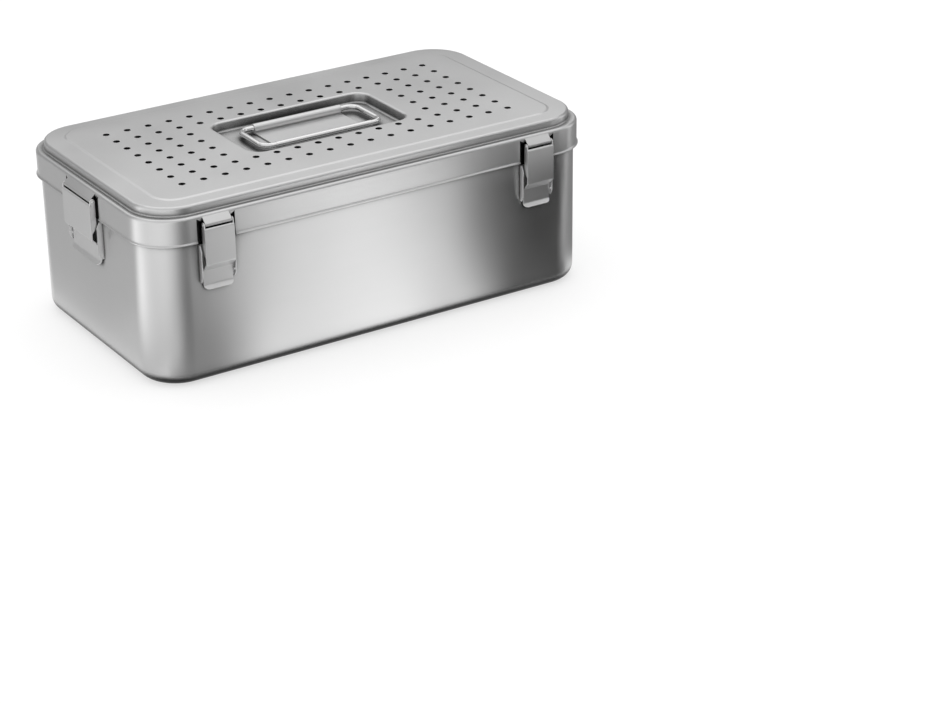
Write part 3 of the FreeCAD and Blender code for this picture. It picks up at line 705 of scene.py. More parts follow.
# The pressed, basket and steam-hole finishes lay painted shade in narrow gaps; the clip and wire
# finishes lay none.
SHEET = SteelFinish("pressed_steel", "sheet_steel", 0.68, 0.65, 0.33, 0.4, pull=0.6, painted_shade_openness=0.46)
CLIP = SteelFinish("stamped_steel", "clip_steel", 0.706, 0.69, 0.385, 0.415, painted_shade_tone=1.0,
                   relief=0.02, cloud=0.015, metal=0.9)
WIRE = SteelFinish("polished_wire", "wire_steel", 0.788, 0.772, 0.092, 0.108, painted_shade_tone=1.0,
                   relief=0.004, cloud=0.006, metal=0.9)
BASKET = SteelFinish("basket_steel", "sheet_steel", 0.66, 0.6, 0.34, 0.46, pull=0.6)
# Near-black painted shade on the steam holes' collars, standing in for the shade inside the holes.
HOLE_PAINTED_SHADE = SteelFinish("punched_edge", "sheet_steel", 0.04, 0.03, 0.5, 0.6)
GASKET = SiliconeFinish()


def dress(piece: bpy.types.Object, finish: SteelFinish | SiliconeFinish, body: str,
          *nodes: str) -> None:
    """Give a piece its finish and its body, and the CAD nodes it stands for.

    Args:
        piece: The finished object.
        finish: What it is made of.
        body: CAD body that it moves with.
        nodes: CAD nodes that it stands for.
    """
    piece.data.materials.clear()
    piece.data.materials.append(finish.material())
    lay_brushing(piece.data)
    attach(piece, body)
    if nodes:
        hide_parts(*nodes)
    log.info("%s: %d faces, rides on %s", piece.name, len(piece.data.polygons), body)


def dress_copy(node: str, frame: dict, width: float, finish: SteelFinish | SiliconeFinish,
               body: str) -> None:
    """Dress a refined copy of a CAD node in the node's place."""
    dress(refined(node, frame, width), finish, body, node)


# Geometry Nodes

COLLAR_SIDES = 24
ROUNDED_STEPS = ((0.7, 0.29), (1.0, 0.71))
COLLAR_INPUTS = (
    ("Pitch", "Float", 0.023), ("Columns", "Int", 17), ("Rows", "Int", 8), ("Gap X", "Float", 0.1),
    ("Gap Y", "Float", 0.05), ("Level", "Float", 0.182), ("Mouth", "Float", 0.0033),
    ("Bore", "Float", 0.003), ("Depth", "Float", 0.0012), ("Finish", "Material", None))


def collar_tree() -> Tree:
    """Build the tree that sets a rounded collar in each steam hole of the lid's grid.

    Returns:
        The tree, with its sizes as named inputs.
    """
    tree = bpy.data.node_groups.new("steam_hole_collars", "GeometryNodeTree")
    given, leave = open_group(tree, COLLAR_INPUTS, (("Geometry", "Geometry"),))
    sizes = {}
    for axis, count in (("X", "Columns"), ("Y", "Rows")):
        steps = maths(tree, "SUBTRACT", given[count], 1.0)
        sizes["Size " + axis] = maths(tree, "MULTIPLY", steps, given["Pitch"])
        sizes["Vertices " + axis] = given[count]
    grid = add_node(tree, "GeometryNodeMeshGrid", sizes)
    place = axes(tree, add_node(tree, "GeometryNodeInputPosition").outputs[0])
    inside = [maths(tree, "LESS_THAN", maths(tree, "ABSOLUTE", place[axis]), given["Gap " + axis])
              for axis in "XY"]
    trimmed = add_node(tree, "GeometryNodeDeleteGeometry", {
        "Geometry": grid.outputs["Mesh"], "Selection": maths(tree, "MULTIPLY", *inside)},
        domain="POINT")
    raised = add_node(tree, "GeometryNodeSetPosition", {
        "Geometry": trimmed.outputs[0], "Offset": on_z(tree, given["Level"])})
    placed = add_node(tree, "GeometryNodeInstanceOnPoints", {
        "Points": raised.outputs[0], "Instance": collar_shape(tree, given)})
    real = add_node(tree, "GeometryNodeRealizeInstances", {0: placed.outputs[0]})
    finish = add_node(tree, "GeometryNodeSetMaterial", {
        "Geometry": real.outputs[0], "Material": given["Finish"]})
    feed(tree, leave, {"Geometry": finish.outputs[0]})
    return tree


def collar_shape(tree: Tree, given: bpy.types.NodeOutputs) -> Socket:
    """Add the nodes of one collar: a circle pushed down and in over two steps, then straight down.

    Args:
        tree: Tree that gets the nodes.
        given: Sockets of its inputs.

    Returns:
        Socket of the collar's mesh.
    """
    rounding = maths(tree, "SUBTRACT", given["Mouth"], given["Bore"])
    straight = maths(tree, "SUBTRACT", given["Depth"], rounding)
    steps = [(share, fall, rounding) for share, fall in ROUNDED_STEPS] + [(1.0, 1.0, straight)]
    mouth = add_node(tree, "GeometryNodeMeshCircle", {
        "Vertices": COLLAR_SIDES, "Radius": given["Mouth"]}, fill_type="NONE")
    current, chosen = mouth.outputs["Mesh"], {}
    for share, fall, run in steps:
        push = add_node(tree, "GeometryNodeExtrudeMesh", {
            "Mesh": current, "Offset": on_z(tree, maths(tree, "MULTIPLY", run, -fall)),
            "Offset Scale": 1.0, **chosen}, mode="EDGES")
        here = add_node(tree, "GeometryNodeInputPosition").outputs[0]
        inward = maths(tree, "MULTIPLY", rounding, share)
        radius = maths(tree, "SUBTRACT", given["Mouth"], inward)
        flat = vectors(tree, "MULTIPLY", {0: here, 1: (1, 1, 0)})
        grown = vectors(tree, "SCALE", {0: vectors(tree, "NORMALIZE", {0: flat}), "Scale": radius})
        level = on_z(tree, axes(tree, here)["Z"])
        chosen = {"Selection": push.outputs["Top"]}
        current = add_node(tree, "GeometryNodeSetPosition", {
            "Geometry": push.outputs["Mesh"], **chosen,
            "Position": vectors(tree, "ADD", {0: grown, 1: level})}).outputs["Geometry"]
    return current


def grown_by(tree: Tree, name: str, **sizes: object) -> bpy.types.Object:
    """Run a Geometry Nodes tree with its inputs set and keep the result as a plain mesh.

    Args:
        tree: The tree.
        name: Name of the object.
        sizes: Value of each input, with _ for a space in its name.

    Returns:
        The new object, with no modifier.
    """
    seed = place_mesh(name + "_seed", bpy.data.meshes.new(name + "_seed"))
    grower = seed.modifiers.new("grower", "NODES")
    grower.node_group = tree
    known = {item.name.replace(" ", "_"): item.identifier for item in tree.interface.items_tree
             if item.in_out == "INPUT"}
    for size, value in sizes.items():
        grower[known[size]] = value
    bpy.context.view_layer.update()
    ready = seed.evaluated_get(bpy.context.evaluated_depsgraph_get())
    mesh = bpy.data.meshes.new_from_object(ready)
    bpy.data.objects.remove(seed)
    mesh.name = name
    return place_mesh(name, mesh)


# The container

class Side(Enum):
    """Six places of a clip: name, width, middle of the tub wall there and turn about Z."""
    FRONT_LEFT = ("front_left", 31.0, (-180.0, -134.5), 180.0)
    FRONT_RIGHT = ("front_right", 31.0, (180.0, -134.5), 180.0)
    BACK_LEFT = ("back_left", 31.0, (-180.0, 134.5), 0.0)
    BACK_RIGHT = ("back_right", 31.0, (180.0, 134.5), 0.0)
    LEFT_END = ("left_end", 60.0, (-246.5, 0.0), 90.0)
    RIGHT_END = ("right_end", 60.0, (246.5, 0.0), -90.0)

    @property
    def title(self) -> str:
        """Name of the place."""
        return self.value[0]

    @property
    def width(self) -> float:
        """Width of the clip here."""
        return self.value[1]

    @property
    def middle(self) -> Point2:
        """Middle of the tub wall here."""
        return self.value[2]

    def place(self, across: float, away: float, level: float) -> Point3:
        """Point given along the wall, away from it and above the ground."""
        turn, (x, y) = math.radians(self.value[3]), self.middle
        return (x + across * math.cos(turn) - away * math.sin(turn),
                y + across * math.sin(turn) + away * math.cos(turn), level)


class Stretch(Enum):
    """What lies between two neighbouring points of a ring of the lid's skirt."""
    WALL = 0
    RISING = 1
    STRIP = 2
    FALLING = 3


@dataclass
class Lid:
    """Pressed lid with its perforated panel, sunk handle bay, notched skirt and hinge strips.

    Its notch_gap is how far a notch reaches past each side of a clip, and its strip_gap how much
    narrower the hinge strip is there. Its lip_line holds (inset, height above the foot) pairs, and
    its strip_root (away from the tub wall, level) pairs. Its curl_turns are the degrees between
    which a strip curls. The names that end in _edge are widths of small roundings.
    """
    frame: dict
    skirt: Outline = Outline(500, 276, 44)
    platform: Outline = Outline(486, 262, 41)
    panel: Outline = Outline(446, 229, 24)
    recess: Outline = Outline(180, 97, 16)
    wall: float = 1.2
    panel_top: float = 182.0
    platform_top: float = 181.1
    shelf: float = 172.0
    foot: float = 145.0
    edge_round: float = 3.0
    foot_round: float = 1.5
    slope_width: float = 3.6
    slope_steps: int = 5
    edge_steps: int = 6
    foot_steps: int = 4
    curl_steps: int = 22
    recess_floor: float = 172.0
    recess_slope: float = 14.0
    mouth_round: float = 2.5
    floor_round: float = 2.5
    pitch: float = 23.0
    columns: int = 17
    rows: int = 8
    bore: float = 3.2
    mouth: float = 3.45
    fill_margin: float = 1e-5
    gap_x: float = 104.0
    gap_y: float = 50.0
    notch_gap: float = 4.5
    strip_gap: float = 1.6
    notch_top: float = 165.3
    lip_line: tuple[Point2, ...] = ((0, 2.8), (-0.25, 2.0), (-0.85, 1.45), (-1.3, 0.95),
                                    (-1.3, 0.35), (-1.0, 0))
    pin: Point2 = (7.2, 163.2)
    curl_outer: float = 2.2
    curl_inner: float = 1.05
    curl_turns: Point2 = (45.6, -216.4)
    strip_root: tuple[Point2, Point2] = ((3.2, 170.2), (2.4, 169.3))
    pin_edge: float = 0.25
    plate_edge: float = 0.25
    gasket_edge: float = 0.3
    strip_edge: float = 0.12

    def stations(self) -> Stations:
        """Find where the notches and hinge strips begin and end.

        Returns:
            Places along X and places along Y.
        """
        along, across = [
            tuple(side.middle[axis] + sign * (side.width / 2 + reach) for side in sides
                  for reach in (-self.strip_gap, self.notch_gap) for sign in (-1, 1))
            for axis, sides in enumerate(((Side.FRONT_LEFT, Side.FRONT_RIGHT), (Side.LEFT_END,)))]
        return along, across

    def holes(self) -> list[Point2]:
        """Middles of the steam holes."""
        xs, ys = [[(step - (count - 1) / 2) * self.pitch for step in range(count)]
                  for count in (self.columns, self.rows)]
        return [(x, y) for x in xs for y in ys if abs(x) > self.gap_x or abs(y) > self.gap_y]

    def make(self) -> None:
        """Build and dress all pieces of the lid."""
        self.make_pressing()
        self.make_collars()
        self.make_strips()
        for side in Side:
            dress_copy("pin_" + side.title, self.frame, self.pin_edge, WIRE, "lid")
        dress_copy("lid_gasket", self.frame, self.gasket_edge, GASKET, "lid")
        dress_copy("handle_hinge_plate", self.frame, self.plate_edge, CLIP, "lid")

    def make_pressing(self) -> None:
        """Build one sheet from the panel down to the lip of the skirt."""
        sheet, stations, wall = Sheet(), self.stations(), self.wall
        edge, foot, slope = self.edge_round, self.foot_round, []
        for step in range(self.slope_steps + 1):
            share = step / self.slope_steps
            fall = (self.panel_top - self.platform_top) * share * share * (3 - 2 * share)
            inset = self.slope_width * (1 - share)
            slope.append((inset, self.panel_top - fall, inset, self.panel_top - fall - wall))
        upper = bend((edge, self.platform_top - edge), edge, (90, 180), self.edge_steps, wall)
        lower = bend((-foot, self.shelf + foot), foot, (0, -90), self.foot_steps, -wall)
        crest = bend((edge, self.shelf - edge), edge, (90, 180), self.edge_steps, wall)
        rings = sheet.add_rows(self.panel, slope, stations)
        rings += sheet.add_rows(self.platform, upper + lower, stations)
        rings += sheet.add_rows(self.skirt, crest, stations)
        sheet.join_rings(rings)
        line = [(0, self.notch_top)] + [(inset, self.foot + rise) for inset, rise in self.lip_line]
        rows = [(inset, level, wall, level) for inset, level in line]
        skirt = [rings[-1], *sheet.add_rows(self.skirt, rows, stations)]
        for number, (above, below) in enumerate(zip(skirt, skirt[1:])):
            self.join_past_notches(sheet, above, below, number == 0)
        self.fill_panel(sheet, rings[0], self.sink_recess(sheet))
        dress(soften(sheet.build("lid_pressing")), SHEET, "lid", "lid_shell")

    def join_past_notches(self, sheet: Sheet, upper: list[int], lower: list[int],
                          at_top: bool) -> None:
        """Join two rings of the skirt and leave the notches out.

        Args:
            sheet: Sheet that gets the faces.
            upper: Upper ring.
            lower: Lower ring.
            at_top: Whether the rings lie between the skirt's crest and the notches' tops, where a
                notch only has its corners.
        """
        kinds, start = {}, 0
        for count in [len(places) for places in self.stations()] * 2:
            for first in range(start, start + count, 4):
                kinds.update({first: Stretch.RISING, first + 1: Stretch.STRIP,
                              first + 2: Stretch.FALLING})
            start += count + CORNER_STEPS + 1
        for here in range(len(upper)):
            after = (here + 1) % len(upper)
            kind = kinds.get(here, Stretch.WALL)
            if kind is Stretch.WALL or (at_top and kind is Stretch.STRIP):
                sheet.faces.append((lower[here], lower[after], upper[after], upper[here]))
            elif at_top:
                foot = lower[after] if kind is Stretch.RISING else lower[here]
                sheet.faces.append((foot, upper[after], upper[here]))

    def lead(self, radius: float) -> float:
        """Distance from a bend of the recess to the corner that it rounds."""
        return radius * math.tan(math.radians(90 - self.recess_slope) / 2)

    def sink_recess(self, sheet: Sheet) -> list[int]:
        """Sink the handle's recess from the panel.

        Args:
            sheet: Sheet that gets the faces.

        Returns:
            Ring of the recess's mouth.
        """
        top, low, degrees = self.panel_top, self.recess_floor, self.recess_slope
        mouth, floor = self.mouth_round, self.floor_round
        foot = (top - low) * math.tan(math.radians(degrees)) + self.lead(floor)
        upper = bend((-self.lead(mouth), top - mouth), mouth, (90, degrees), self.edge_steps,
                     self.wall)
        lower = bend((foot, low + floor), floor, (180 + degrees, 270), self.edge_steps, -self.wall)
        rings = sheet.add_rows(self.recess, upper + lower)
        sheet.join_rings([ring[::-1] for ring in rings])
        sheet.faces.append(tuple(rings[-1]))
        return rings[0]

    def fill_panel(self, sheet: Sheet, edge: list[int], recess: list[int]) -> None:
        """Fill the panel between its edge, the steam holes and the recess.

        Args:
            sheet: Sheet that gets the faces.
            edge: Ring of the panel's edge.
            recess: Ring of the recess's mouth.
        """
        loops, middles, top = [edge], self.holes(), self.panel_top
        for middle in middles:
            places = arc(middle, self.mouth, 0, 360, COLLAR_SIDES)[:-1]
            loop = sheet.add_ring(places, top, places, top - self.wall)
            sheet.left_open.update(frozenset(pair) for pair in zip(loop, loop[1:] + loop[:1]))
            loops.append(loop)
        loops.append(recess)
        numbers = [index for loop in loops for index in loop]
        flat = [Vector(sheet.outer[index][:2]) for index in numbers]
        lines, start = [], 0
        for loop in loops:
            count = len(loop)
            lines += [(start + step, start + (step + 1) % count) for step in range(count)]
            start += count
        _, _, cells, origins, _, _ = delaunay_2d_cdt(flat, lines, [], 0, self.fill_margin)
        for cell in cells:
            corners = [numbers[origins[index][0]] for index in cell]
            x, y = [sum(sheet.outer[index][axis] for index in corners) / 3 for axis in (0, 1)]
            in_hole = any((x - u) ** 2 + (y - v) ** 2 < self.mouth ** 2 for u, v in middles)
            if not in_hole and not self.recess.holds(x, y, -self.lead(self.mouth_round)):
                sheet.faces.append(tuple(corners))

    def make_collars(self) -> None:
        """Build the rounded rims and walls of the steam holes, in a near-black painted shade that
        stands in for the shade inside them.
        """
        collars = grown_by(
            collar_tree(), "steam_hole_collars", Columns=self.columns, Rows=self.rows,
            Pitch=self.pitch * MM, Gap_X=self.gap_x * MM, Gap_Y=self.gap_y * MM,
            Level=self.panel_top * MM, Mouth=self.mouth * MM, Bore=self.bore * MM,
            Depth=self.wall * MM, Finish=HOLE_PAINTED_SHADE.material())
        dress(collars, HOLE_PAINTED_SHADE, "lid")

    def make_strips(self) -> None:
        """Build the hinge strips that bend out of the skirt and curl round the clip pins."""
        first, last = self.curl_turns
        outer = arc(self.pin, self.curl_outer, first, last, self.curl_steps)
        inner = arc(self.pin, self.curl_inner, last, first, self.curl_steps)
        section = [self.strip_root[0], *outer, *inner, self.strip_root[1]]
        for side in Side:
            half = side.width / 2 - self.strip_gap
            strip = prism("hinge_strip_" + side.title, side, section, -half, half)
            dress(soften(strip, self.strip_edge), SHEET, "lid")


def prism(name: str, side: Side, outline: list[Point2], first: float,
          last: float) -> bpy.types.Object:
    """Piece of constant section at a clip's place.

    Args:
        name: Name of the object.
        side: Place of the clip.
        outline: Closed section as (away from the wall, level) pairs.
        first: One end along the wall.
        last: Other end along the wall.

    Returns:
        The new object.
    """
    count = len(outline)
    points = [side.place(across, away, level) for across in (first, last)
              for away, level in outline]
    faces = [tuple(range(count)), tuple(range(2 * count - 1, count - 1, -1))]
    faces += [(step, step + count, (step + 1) % count + count, (step + 1) % count)
              for step in range(count)]
    return make_object(name, points, faces, outward=True)


@dataclass
class Clip:
    """One-piece sheet clip: plate, joggle, tab and two ears.

    Its path holds (away from the wall, level, bend radius) for each corner of the sheet's middle
    line. Its corner is the radius of the tab's corners, and its turn_step the degrees between the
    points of a rounding.
    """
    side: Side
    sheet: float = 1.2
    pin: Point2 = (7.2, 163.2)
    corner: float = 5.0
    path: tuple[Point3, ...] = (
        (9.12, 159.73, 0), (10.25, 159.32, 1.6), (10.25, 124.25, 1.8), (2.1, 116.1, 1.8),
        (2.1, 100.75, 4.2), (5.68, 97.18, 0))
    bend_steps: int = 6
    turn_step: int = 15
    row_margin: float = 0.02
    ear_front: tuple[Point2, Point2] = ((10.25, 129.0), (10.25, 159.6))
    ear_back: Point2 = (4.45, 137.0)
    ear_crown: Point2 = (2.75, 2.4)
    ear_edge: float = 0.45
    plate_edge: float = 0.5
    plate_angle: float = 50.0

    def middle_line(self) -> list[tuple[Vector, Vector]]:
        """Lay out the sheet's middle line with its bends.

        Returns:
            Points of the line, each with the direction to the sheet's outer face.
        """
        corners = [Vector(corner[:2]) for corner in self.path]
        runs = [(after - here).normalized() for here, after in zip(corners, corners[1:])]
        lefts = [Vector((-run.y, run.x)) for run in runs]
        line = [(corners[0], lefts[0])]
        for number, (_, _, radius) in enumerate(self.path[1:-1]):
            before, left = runs[number], lefts[number]
            turn = abs(before.angle_signed(runs[number + 1]))
            way = 1 if left.dot(runs[number + 1]) > 0 else -1
            centre = (corners[number + 1] - before * radius * math.tan(turn / 2)
                      + left * radius * way)
            for step in range(self.bend_steps + 1):
                out = Matrix.Rotation(turn * step / self.bend_steps * way, 2) @ (-left * way)
                line.append((centre + out * radius, out * -way))
        return line + [(corners[-1], lefts[-1])]

    def rows(self) -> list[tuple[float, Vector, Vector]]:
        """Rows across the plate, with more of them where its end corners narrow it.

        Returns:
            Distance along the sheet, point of the middle line and direction to the outer face.
        """
        line, rows, travelled = self.middle_line(), [], 0.0
        gaps = [(after[0] - here[0]).length for here, after in zip(line, line[1:])]
        cuts = [sum(gaps) - self.corner * (1 - math.cos(math.radians(turn)))
                for turn in range(90, -1, -self.turn_step)]
        for (here, normal), (after, next_normal), gap in zip(line, line[1:], gaps):
            rows.append((travelled, here, normal))
            for cut in cuts:
                if travelled + self.row_margin < cut < travelled + gap - self.row_margin:
                    share = (cut - travelled) / gap
                    rows.append((cut, here.lerp(after, share),
                                 normal.lerp(next_normal, share).normalized()))
            travelled += gap
        return rows + [(travelled, *line[-1])]

    def make(self) -> None:
        """Build and dress the clip."""
        self.make_plate()
        half, title = self.side.width / 2, self.side.title
        crown = [(self.pin[0] + self.ear_crown[0] * math.cos(math.radians(turn)),
                  self.pin[1] + self.ear_crown[1] * math.sin(math.radians(turn)))
                 for turn in range(0, 181, self.turn_step)]
        outline = [*self.ear_front, *crown, self.ear_back]
        for name, first in (("first", -half), ("second", half - self.sheet)):
            ear = prism(f"clip_{title}_{name}_ear", self.side, outline, first, first + self.sheet)
            dress(soften(ear, self.ear_edge), CLIP, "clip_" + title)

    def make_plate(self) -> None:
        """Build and dress the plate with its joggle and tab."""
        sheet, rows, pairs = Sheet(), self.rows(), []
        for place, here, normal in rows:
            left = max(self.corner - (rows[-1][0] - place), 0.0)
            narrow = self.corner - math.sqrt(max(self.corner ** 2 - left ** 2, 0.0))
            half = self.side.width / 2 - narrow
            outer, inner = [here + normal * reach for reach in (self.sheet / 2, -self.sheet / 2)]
            pairs.append([sheet.add(self.side.place(across, *outer),
                                    self.side.place(across, *inner)) for across in (-half, half)])
        for upper, lower in zip(pairs, pairs[1:]):
            sheet.faces.append((upper[0], upper[1], lower[1], lower[0]))
        body = "clip_" + self.side.title
        plate = sheet.build(body + "_plate", THIN_SHARP_ANGLE, outward=True)
        dress(soften(plate, self.plate_edge, self.plate_angle), CLIP, body, body)


@dataclass
class Tub:
    """Deep-drawn tub with its rounded floor and folded rim, and the catches on its walls.

    Its rim_line holds (inset, level, inner skin's level) of each ring of the fold, with the levels
    counted from the top.
    """
    frame: dict
    outline: Outline = Outline(493, 269, 40.5)
    wall: float = 1.2
    height: float = 168.0
    foot_round: float = 14.0
    foot_steps: int = 8
    catch_edge: float = 0.2
    rim_line: tuple[Point3, ...] = (
        (0.6, 0, 0), (-0.45, 0, -0.2), (-0.8, -0.4, -0.5), (-0.8, -3.0, -3.0), (-0.45, -3.5, -3.5),
        (0, -3.8, -3.8))

    def make(self) -> None:
        """Build and dress all pieces of the tub."""
        sheet, round_off = Sheet(), self.foot_round
        rows = [(inset, self.height + level, self.wall, self.height + below)
                for inset, level, below in self.rim_line]
        rows += bend((round_off, round_off), round_off, (180, 270), self.foot_steps, self.wall)
        rings = sheet.add_rows(self.outline, rows)
        sheet.join_rings(rings)
        sheet.faces.append(tuple(reversed(rings[-1])))
        dress(soften(sheet.build("tub_drawing")), SHEET, "tub", "tub_shell")
        for side in Side:
            dress_copy("catch_" + side.title, self.frame, self.catch_edge, CLIP, "tub")


@dataclass
class Handle:
    """Folding handle: a closed wire loop with a sleeve on its front bar.

    Its end_line holds (in from the sleeve's end, below its outer radius) pairs of the rounded end.
    """
    outline: Outline = Outline(134.5, 54, 11)
    radius: float = 2.75
    sides: int = 28
    centre: Point3 = (0, -2, 177.6)
    sleeve_outer: float = 3.1
    sleeve_inner: float = 2.85
    sleeve_half: float = 54.5
    end_line: tuple[Point2, ...] = ((0, 0.5), (0.15, 0.15), (0.5, 0))

    def make(self) -> None:
        """Build and dress the wire and the sleeve."""
        wire = wire_loop("handle_wire", self.outline, self.radius, self.centre, self.sides)
        dress(wire, WIRE, "handle", "handle_bail")
        half = self.sleeve_half
        left_end = [(-half, self.sleeve_inner)]
        left_end += [(along - half, self.sleeve_outer - below) for along, below in self.end_line]
        profile = left_end + [(-along, radius) for along, radius in reversed(left_end)]
        bar = (self.centre[0], self.centre[1] - self.outline.width / 2, self.centre[2])
        dress(soften(turned("handle_sleeve", profile, bar)), WIRE, "handle", "handle_grip")


@dataclass
class Basket:
    """Instrument basket inside the tub, with its rim wire, eyes and drop handles."""
    frame: dict
    rim: Outline = Outline(454.5, 234.5, 22.25)
    rim_level: float = 67.0
    drop: Outline = Outline(44, 110, 9)
    wire: float = 2.2
    pivot: Point2 = (220.5, 61.2)
    eye_edge: float = 0.2

    def make(self) -> None:
        """Build and dress all pieces of the basket."""
        dress_copy("basket_tray", self.frame, 0.0, BASKET, "basket")
        rim = wire_loop("basket_rim_wire", self.rim, self.wire, (0, 0, self.rim_level))
        dress(rim, WIRE, "basket", "basket_rim")
        for name, way in (("left", -1), ("right", 1)):
            middle = (way * (self.pivot[0] - self.drop.length / 2), 0, self.pivot[1])
            loop = wire_loop(f"basket_{name}_drop_handle", self.drop, self.wire, middle)
            dress(loop, WIRE, "basket_handle_" + name, "basket_handle_" + name)
            for end in ("front", "back"):
                dress_copy(f"basket_eye_{name}_{end}", self.frame, self.eye_edge, CLIP, "basket")


# Studio

LAMP_AIM = Vector((0, 0, 0.1))


def blend_by_ray(tree: Tree) -> Socket:
    """Find out whether a ray shows the surroundings.

    Args:
        tree: Tree that gets the nodes.

    Returns:
        Socket that is one for camera, glossy and transmission rays and zero for the others.
    """
    rays = add_node(tree, "ShaderNodeLightPath").outputs
    shown = maths(tree, "MAXIMUM", rays["Is Camera Ray"], rays["Is Glossy Ray"])
    return maths(tree, "MAXIMUM", shown, rays["Is Transmission Ray"])


@dataclass(frozen=True)
class Card:
    """Studio card that shows only in reflections.

    Its corners go round it in metres. Its tones run from the edge between the first and last corner
    to the opposite edge, as (share of the way, tone) pairs, and it fades out over a share of each
    side.
    """
    name: str
    corners: Corners
    tones: tuple[Point2, ...]
    fade: float = 0.0

    def make(self) -> None:
        """Build the card and hide it from all but glossy rays."""
        mesh = bpy.data.meshes.new(self.name)
        mesh.from_pydata(self.corners, [], [(0, 1, 2, 3)])
        mesh.uv_layers.new(name="card").data.foreach_set("uv", [0, 0, 1, 0, 1, 1, 0, 1])
        mesh.materials.append(self.material())
        card = place_mesh(self.name, mesh)
        for kind in ("camera", "diffuse", "shadow", "transmission"):
            setattr(card, "visible_" + kind, False)

    def material(self) -> bpy.types.Material:
        """Build a glow that follows the tones and fades at the edges.

        Returns:
            The material.
        """
        made, tree, _ = new_material(self.name)
        tree.nodes.clear()
        place = axes(tree, add_node(tree, "ShaderNodeUVMap", uv_map="card").outputs["UV"])
        ramp = add_node(tree, "ShaderNodeValToRGB", {"Fac": place["X"]})
        ramp.color_ramp.interpolation = "EASE"
        marks = ramp.color_ramp.elements
        while len(marks) < len(self.tones):
            marks.new(1.0)
        for mark, (share, tone) in zip(marks, self.tones):
            mark.position, mark.color = share, grey(tone)
        surface = add_node(tree, "ShaderNodeEmission", {"Color": ramp.outputs["Color"]}).outputs[0]
        if self.fade:
            cover = maths(tree, "MULTIPLY", *[
                spread(tree, maths(tree, "PINGPONG", place[axis], 0.5), 0.0, 1.0, (0.0, self.fade),
                       "SMOOTHSTEP") for axis in "XY"])
            clear = add_node(tree, "ShaderNodeBsdfTransparent").outputs[0]
            surface = add_node(tree, "ShaderNodeMixShader",
                               {0: cover, 1: clear, 2: surface}).outputs[0]
        add_node(tree, "ShaderNodeOutputMaterial", {"Surface": surface})
        return made


def lying(level: float, *corners: Point2) -> Corners:
    """Corners of a card that lies flat."""
    return tuple((x, y, level) for x, y in corners)


def upright(start: Point2, end: Point2, low: float, high: float) -> Corners:
    """Corners of a standing card whose tones run from its start to its end."""
    return ((*start, low), (*end, low), (*end, high), (*start, high))


def rising(start: Point2, end: Point2, low: float, high: float) -> Corners:
    """Corners of a standing card whose tones run from its foot to its top."""
    return ((*start, low), (*start, high), (*end, high), (*end, low))


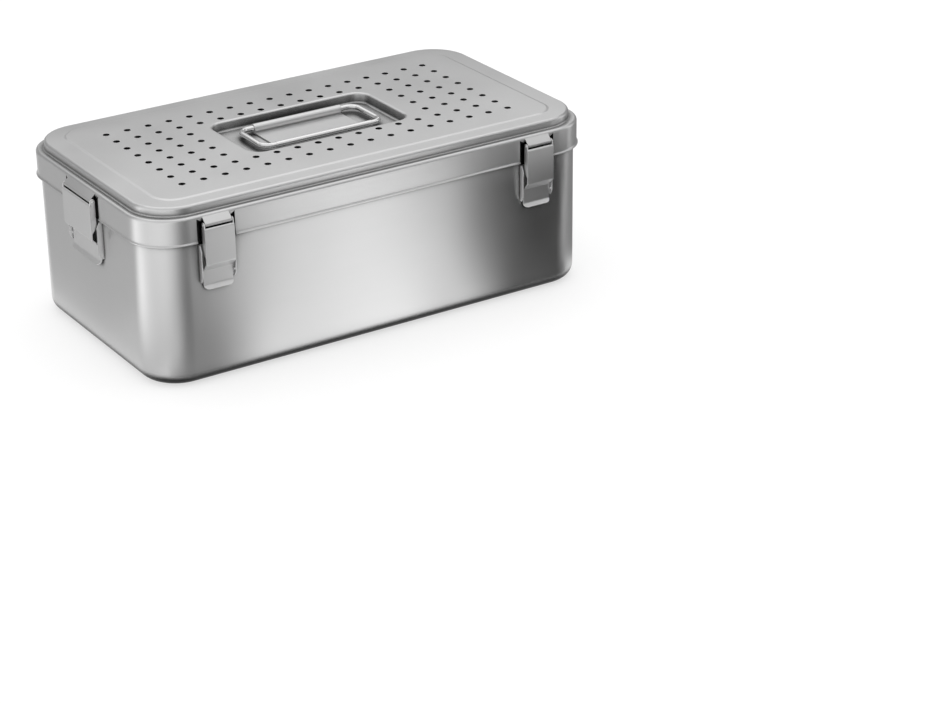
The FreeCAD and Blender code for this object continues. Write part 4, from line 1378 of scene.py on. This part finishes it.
@dataclass
class Studio:
    """Pale floor, soft lamps, reflection cards, white surroundings and the camera."""
    eye: Point3 = (-1.190, -2.126, 1.0653)
    right: Point3 = (0.83605, -0.54856, -0.01032)
    up: Point3 = (0.24062, 0.34968, 0.90544)
    lens: float = 98.63
    sensor: float = 36.0
    cards: tuple[Card, ...] = (
        Card("front_card", lying(0.001, (-0.26, -0.14), (0.30, -0.14), (1.35, -2.0), (0.40, -2.0)),
             ((0.0, 0.25), (0.12, 0.30), (0.26, 1.15), (0.5, 1.38), (0.62, 1.0), (0.76, 0.1),
              (1.0, 0.02))),
        Card("corner_card",
             lying(0.002, (-0.40, -0.141), (-0.18, -0.141), (0.45, -2.0), (-0.45, -2.0)),
             ((0.0, 0.6), (0.5, 0.15), (1.0, 0.22)), 0.1),
        Card("front_far_card", upright((-0.75, -2.3), (2.2, -1.2), 0.0, 0.95),
             ((0.0, 0.12), (0.5, 0.16), (1.0, 0.08)), 0.06),
        Card("right_low_card", upright((0.135, -0.235), (0.55, -0.235), 0.0, 0.125),
             ((0.0, 0.4), (0.25, 0.0), (1.0, 0.0)), 0.08),
        Card("left_card", lying(0.001, (-0.255, -0.3), (-0.255, 0.5), (-0.9, 2.4), (-2.0, 1.0)),
             ((0.0, 0.55), (1.0, 0.5)), 0.04),
        Card("left_light_card",
             lying(0.003, (-0.252, -0.30), (-0.252, 0.04), (-1.9, 0.75), (-1.9, -0.05)),
             ((0.0, 0.7), (0.36, 1.1), (0.66, 1.55), (1.0, 1.1)), 0.12),
        Card("left_back_card", upright((-0.8, 0.1), (-0.2, 1.0), 0.0, 0.8),
             ((0.0, 0.45), (1.0, 0.4)), 0.2),
        Card("right_card", lying(0.001, (0.262, -0.2), (2.2, -0.4), (2.2, 1.8), (0.262, 0.4)),
             ((0.0, 0.25), (1.0, 0.35)), 0.02),
        Card("right_far_card", upright((1.3, -0.2), (0.8, 1.5), 0.0, 1.1),
             ((0.0, 0.3), (1.0, 0.4)), 0.1),
        Card("back_floor_card", lying(0.001, (-0.7, 0.55), (0.9, 0.55), (1.9, 1.7), (-0.2, 1.7)),
             ((0.0, 0.25), (1.0, 0.25)), 0.1),
        Card("back_card", rising((-0.6, 0.5), (0.9, 0.5), 0.2, 0.9),
             ((0.0, 0.28), (0.23, 0.33), (0.33, 0.52), (0.46, 1.05), (1.0, 0.9))),
    )
    matt_light: float = 0.9
    floor_reach: float = 40000.0
    floor_level: float = -0.2
    floor_glow: float = 0.62

    def make(self) -> None:
        """Build the surroundings."""
        self.make_camera()
        self.make_world()
        self.make_floor()
        self.make_lamp("top_softbox", (0.3, 0.4, 2.6), (3.4, 2.8), 17)
        self.make_lamp("left_softbox", (-2.18, 0.27, 0.85), (0.9, 1.6), 4, False)
        for card in self.cards:
            card.make()

    def make_camera(self) -> None:
        """Put the camera at the photograph's viewing angle."""
        lens = bpy.data.cameras.new("camera")
        lens.lens, lens.sensor_width = self.lens, self.sensor
        camera = bpy.data.objects.new("camera", lens)
        bpy.context.scene.collection.objects.link(camera)
        right, up = Vector(self.right).normalized(), Vector(self.up)
        up = (up - right * up.dot(right)).normalized()
        turn = Matrix((right, up, right.cross(up))).transposed().to_4x4()
        camera.matrix_world = Matrix.Translation(Vector(self.eye)) @ turn
        bpy.context.scene.camera = camera

    def make_world(self) -> None:
        """Make white surroundings, greyer overhead, with a plainer light on matt surfaces."""
        world = bpy.data.worlds.new("studio")
        bpy.context.scene.world = world
        world.use_nodes = True
        tree = world.node_tree
        place = axes(tree, add_node(tree, "ShaderNodeTexCoord").outputs["Generated"])
        sky = spread(tree, place["Z"], 1.0, 0.6, (0.05, 1.0))
        strength = mixed(tree, blend_by_ray(tree), self.matt_light, sky, data_type="FLOAT")
        seen = add_node(tree, "ShaderNodeLightPath").outputs["Is Camera Ray"]
        feed(tree, tree.nodes["Background"], {
            "Color": WHITE, "Strength": maths(tree, "MAXIMUM", strength, seen)})

    def make_floor(self) -> None:
        """Build the pale floor that keeps the container's shadow."""
        corners = [(x * self.floor_reach, y * self.floor_reach, self.floor_level)
                   for x, y in ((-1, -1), (1, -1), (1, 1), (-1, 1))]
        floor = make_object("floor", corners, [(0, 1, 2, 3)])
        made, tree, shader = new_material("pale_floor")
        seen = blend_by_ray(tree)
        place = add_node(tree, "ShaderNodeTexCoord").outputs["Object"]
        tone = mixed(tree, noise(tree, place, 3.0, 1.0), grey(0.86), grey(0.88))
        feed(tree, shader, {
            "Base Color": mixed(tree, seen, tone, grey(0.42)), "Roughness": 0.9,
            "Specular IOR Level": 0.0, "Emission Color": WHITE,
            "Emission Strength": spread(tree, seen, 0.0, self.floor_glow, (0.0, 1.0))})
        floor.data.materials.append(made)

    def make_lamp(self, name: str, place: Point3, size: Point2, power: float,
                  mirrored: bool = True) -> None:
        """Add a soft rectangular lamp that faces the container.

        Args:
            name: Name of the lamp.
            place: Where it hangs, in metres.
            size: Its two sides in metres.
            power: Its power in watts.
            mirrored: Whether the steel reflects it.
        """
        light = bpy.data.lights.new(name, "AREA")
        light.shape = "RECTANGLE"
        light.size, light.size_y = size
        light.energy = power
        lamp = bpy.data.objects.new(name, light)
        lamp.location = place
        lamp.visible_glossy = mirrored
        lamp.rotation_mode = "QUATERNION"
        lamp.rotation_quaternion = (LAMP_AIM - Vector(place)).to_track_quat("-Z", "Y")
        bpy.context.scene.collection.objects.link(lamp)


def main() -> None:
    """Build the container and its studio."""
    logging.basicConfig(level=logging.INFO, format="%(message)s")
    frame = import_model()
    bpy.context.scene.view_settings.view_transform = "Standard"
    Studio().make()
    Tub(frame).make()
    Lid(frame).make()
    for side in Side:
        Clip(side).make()
    Handle().make()
    Basket(frame).make()


if __name__ == "__main__":
    main()
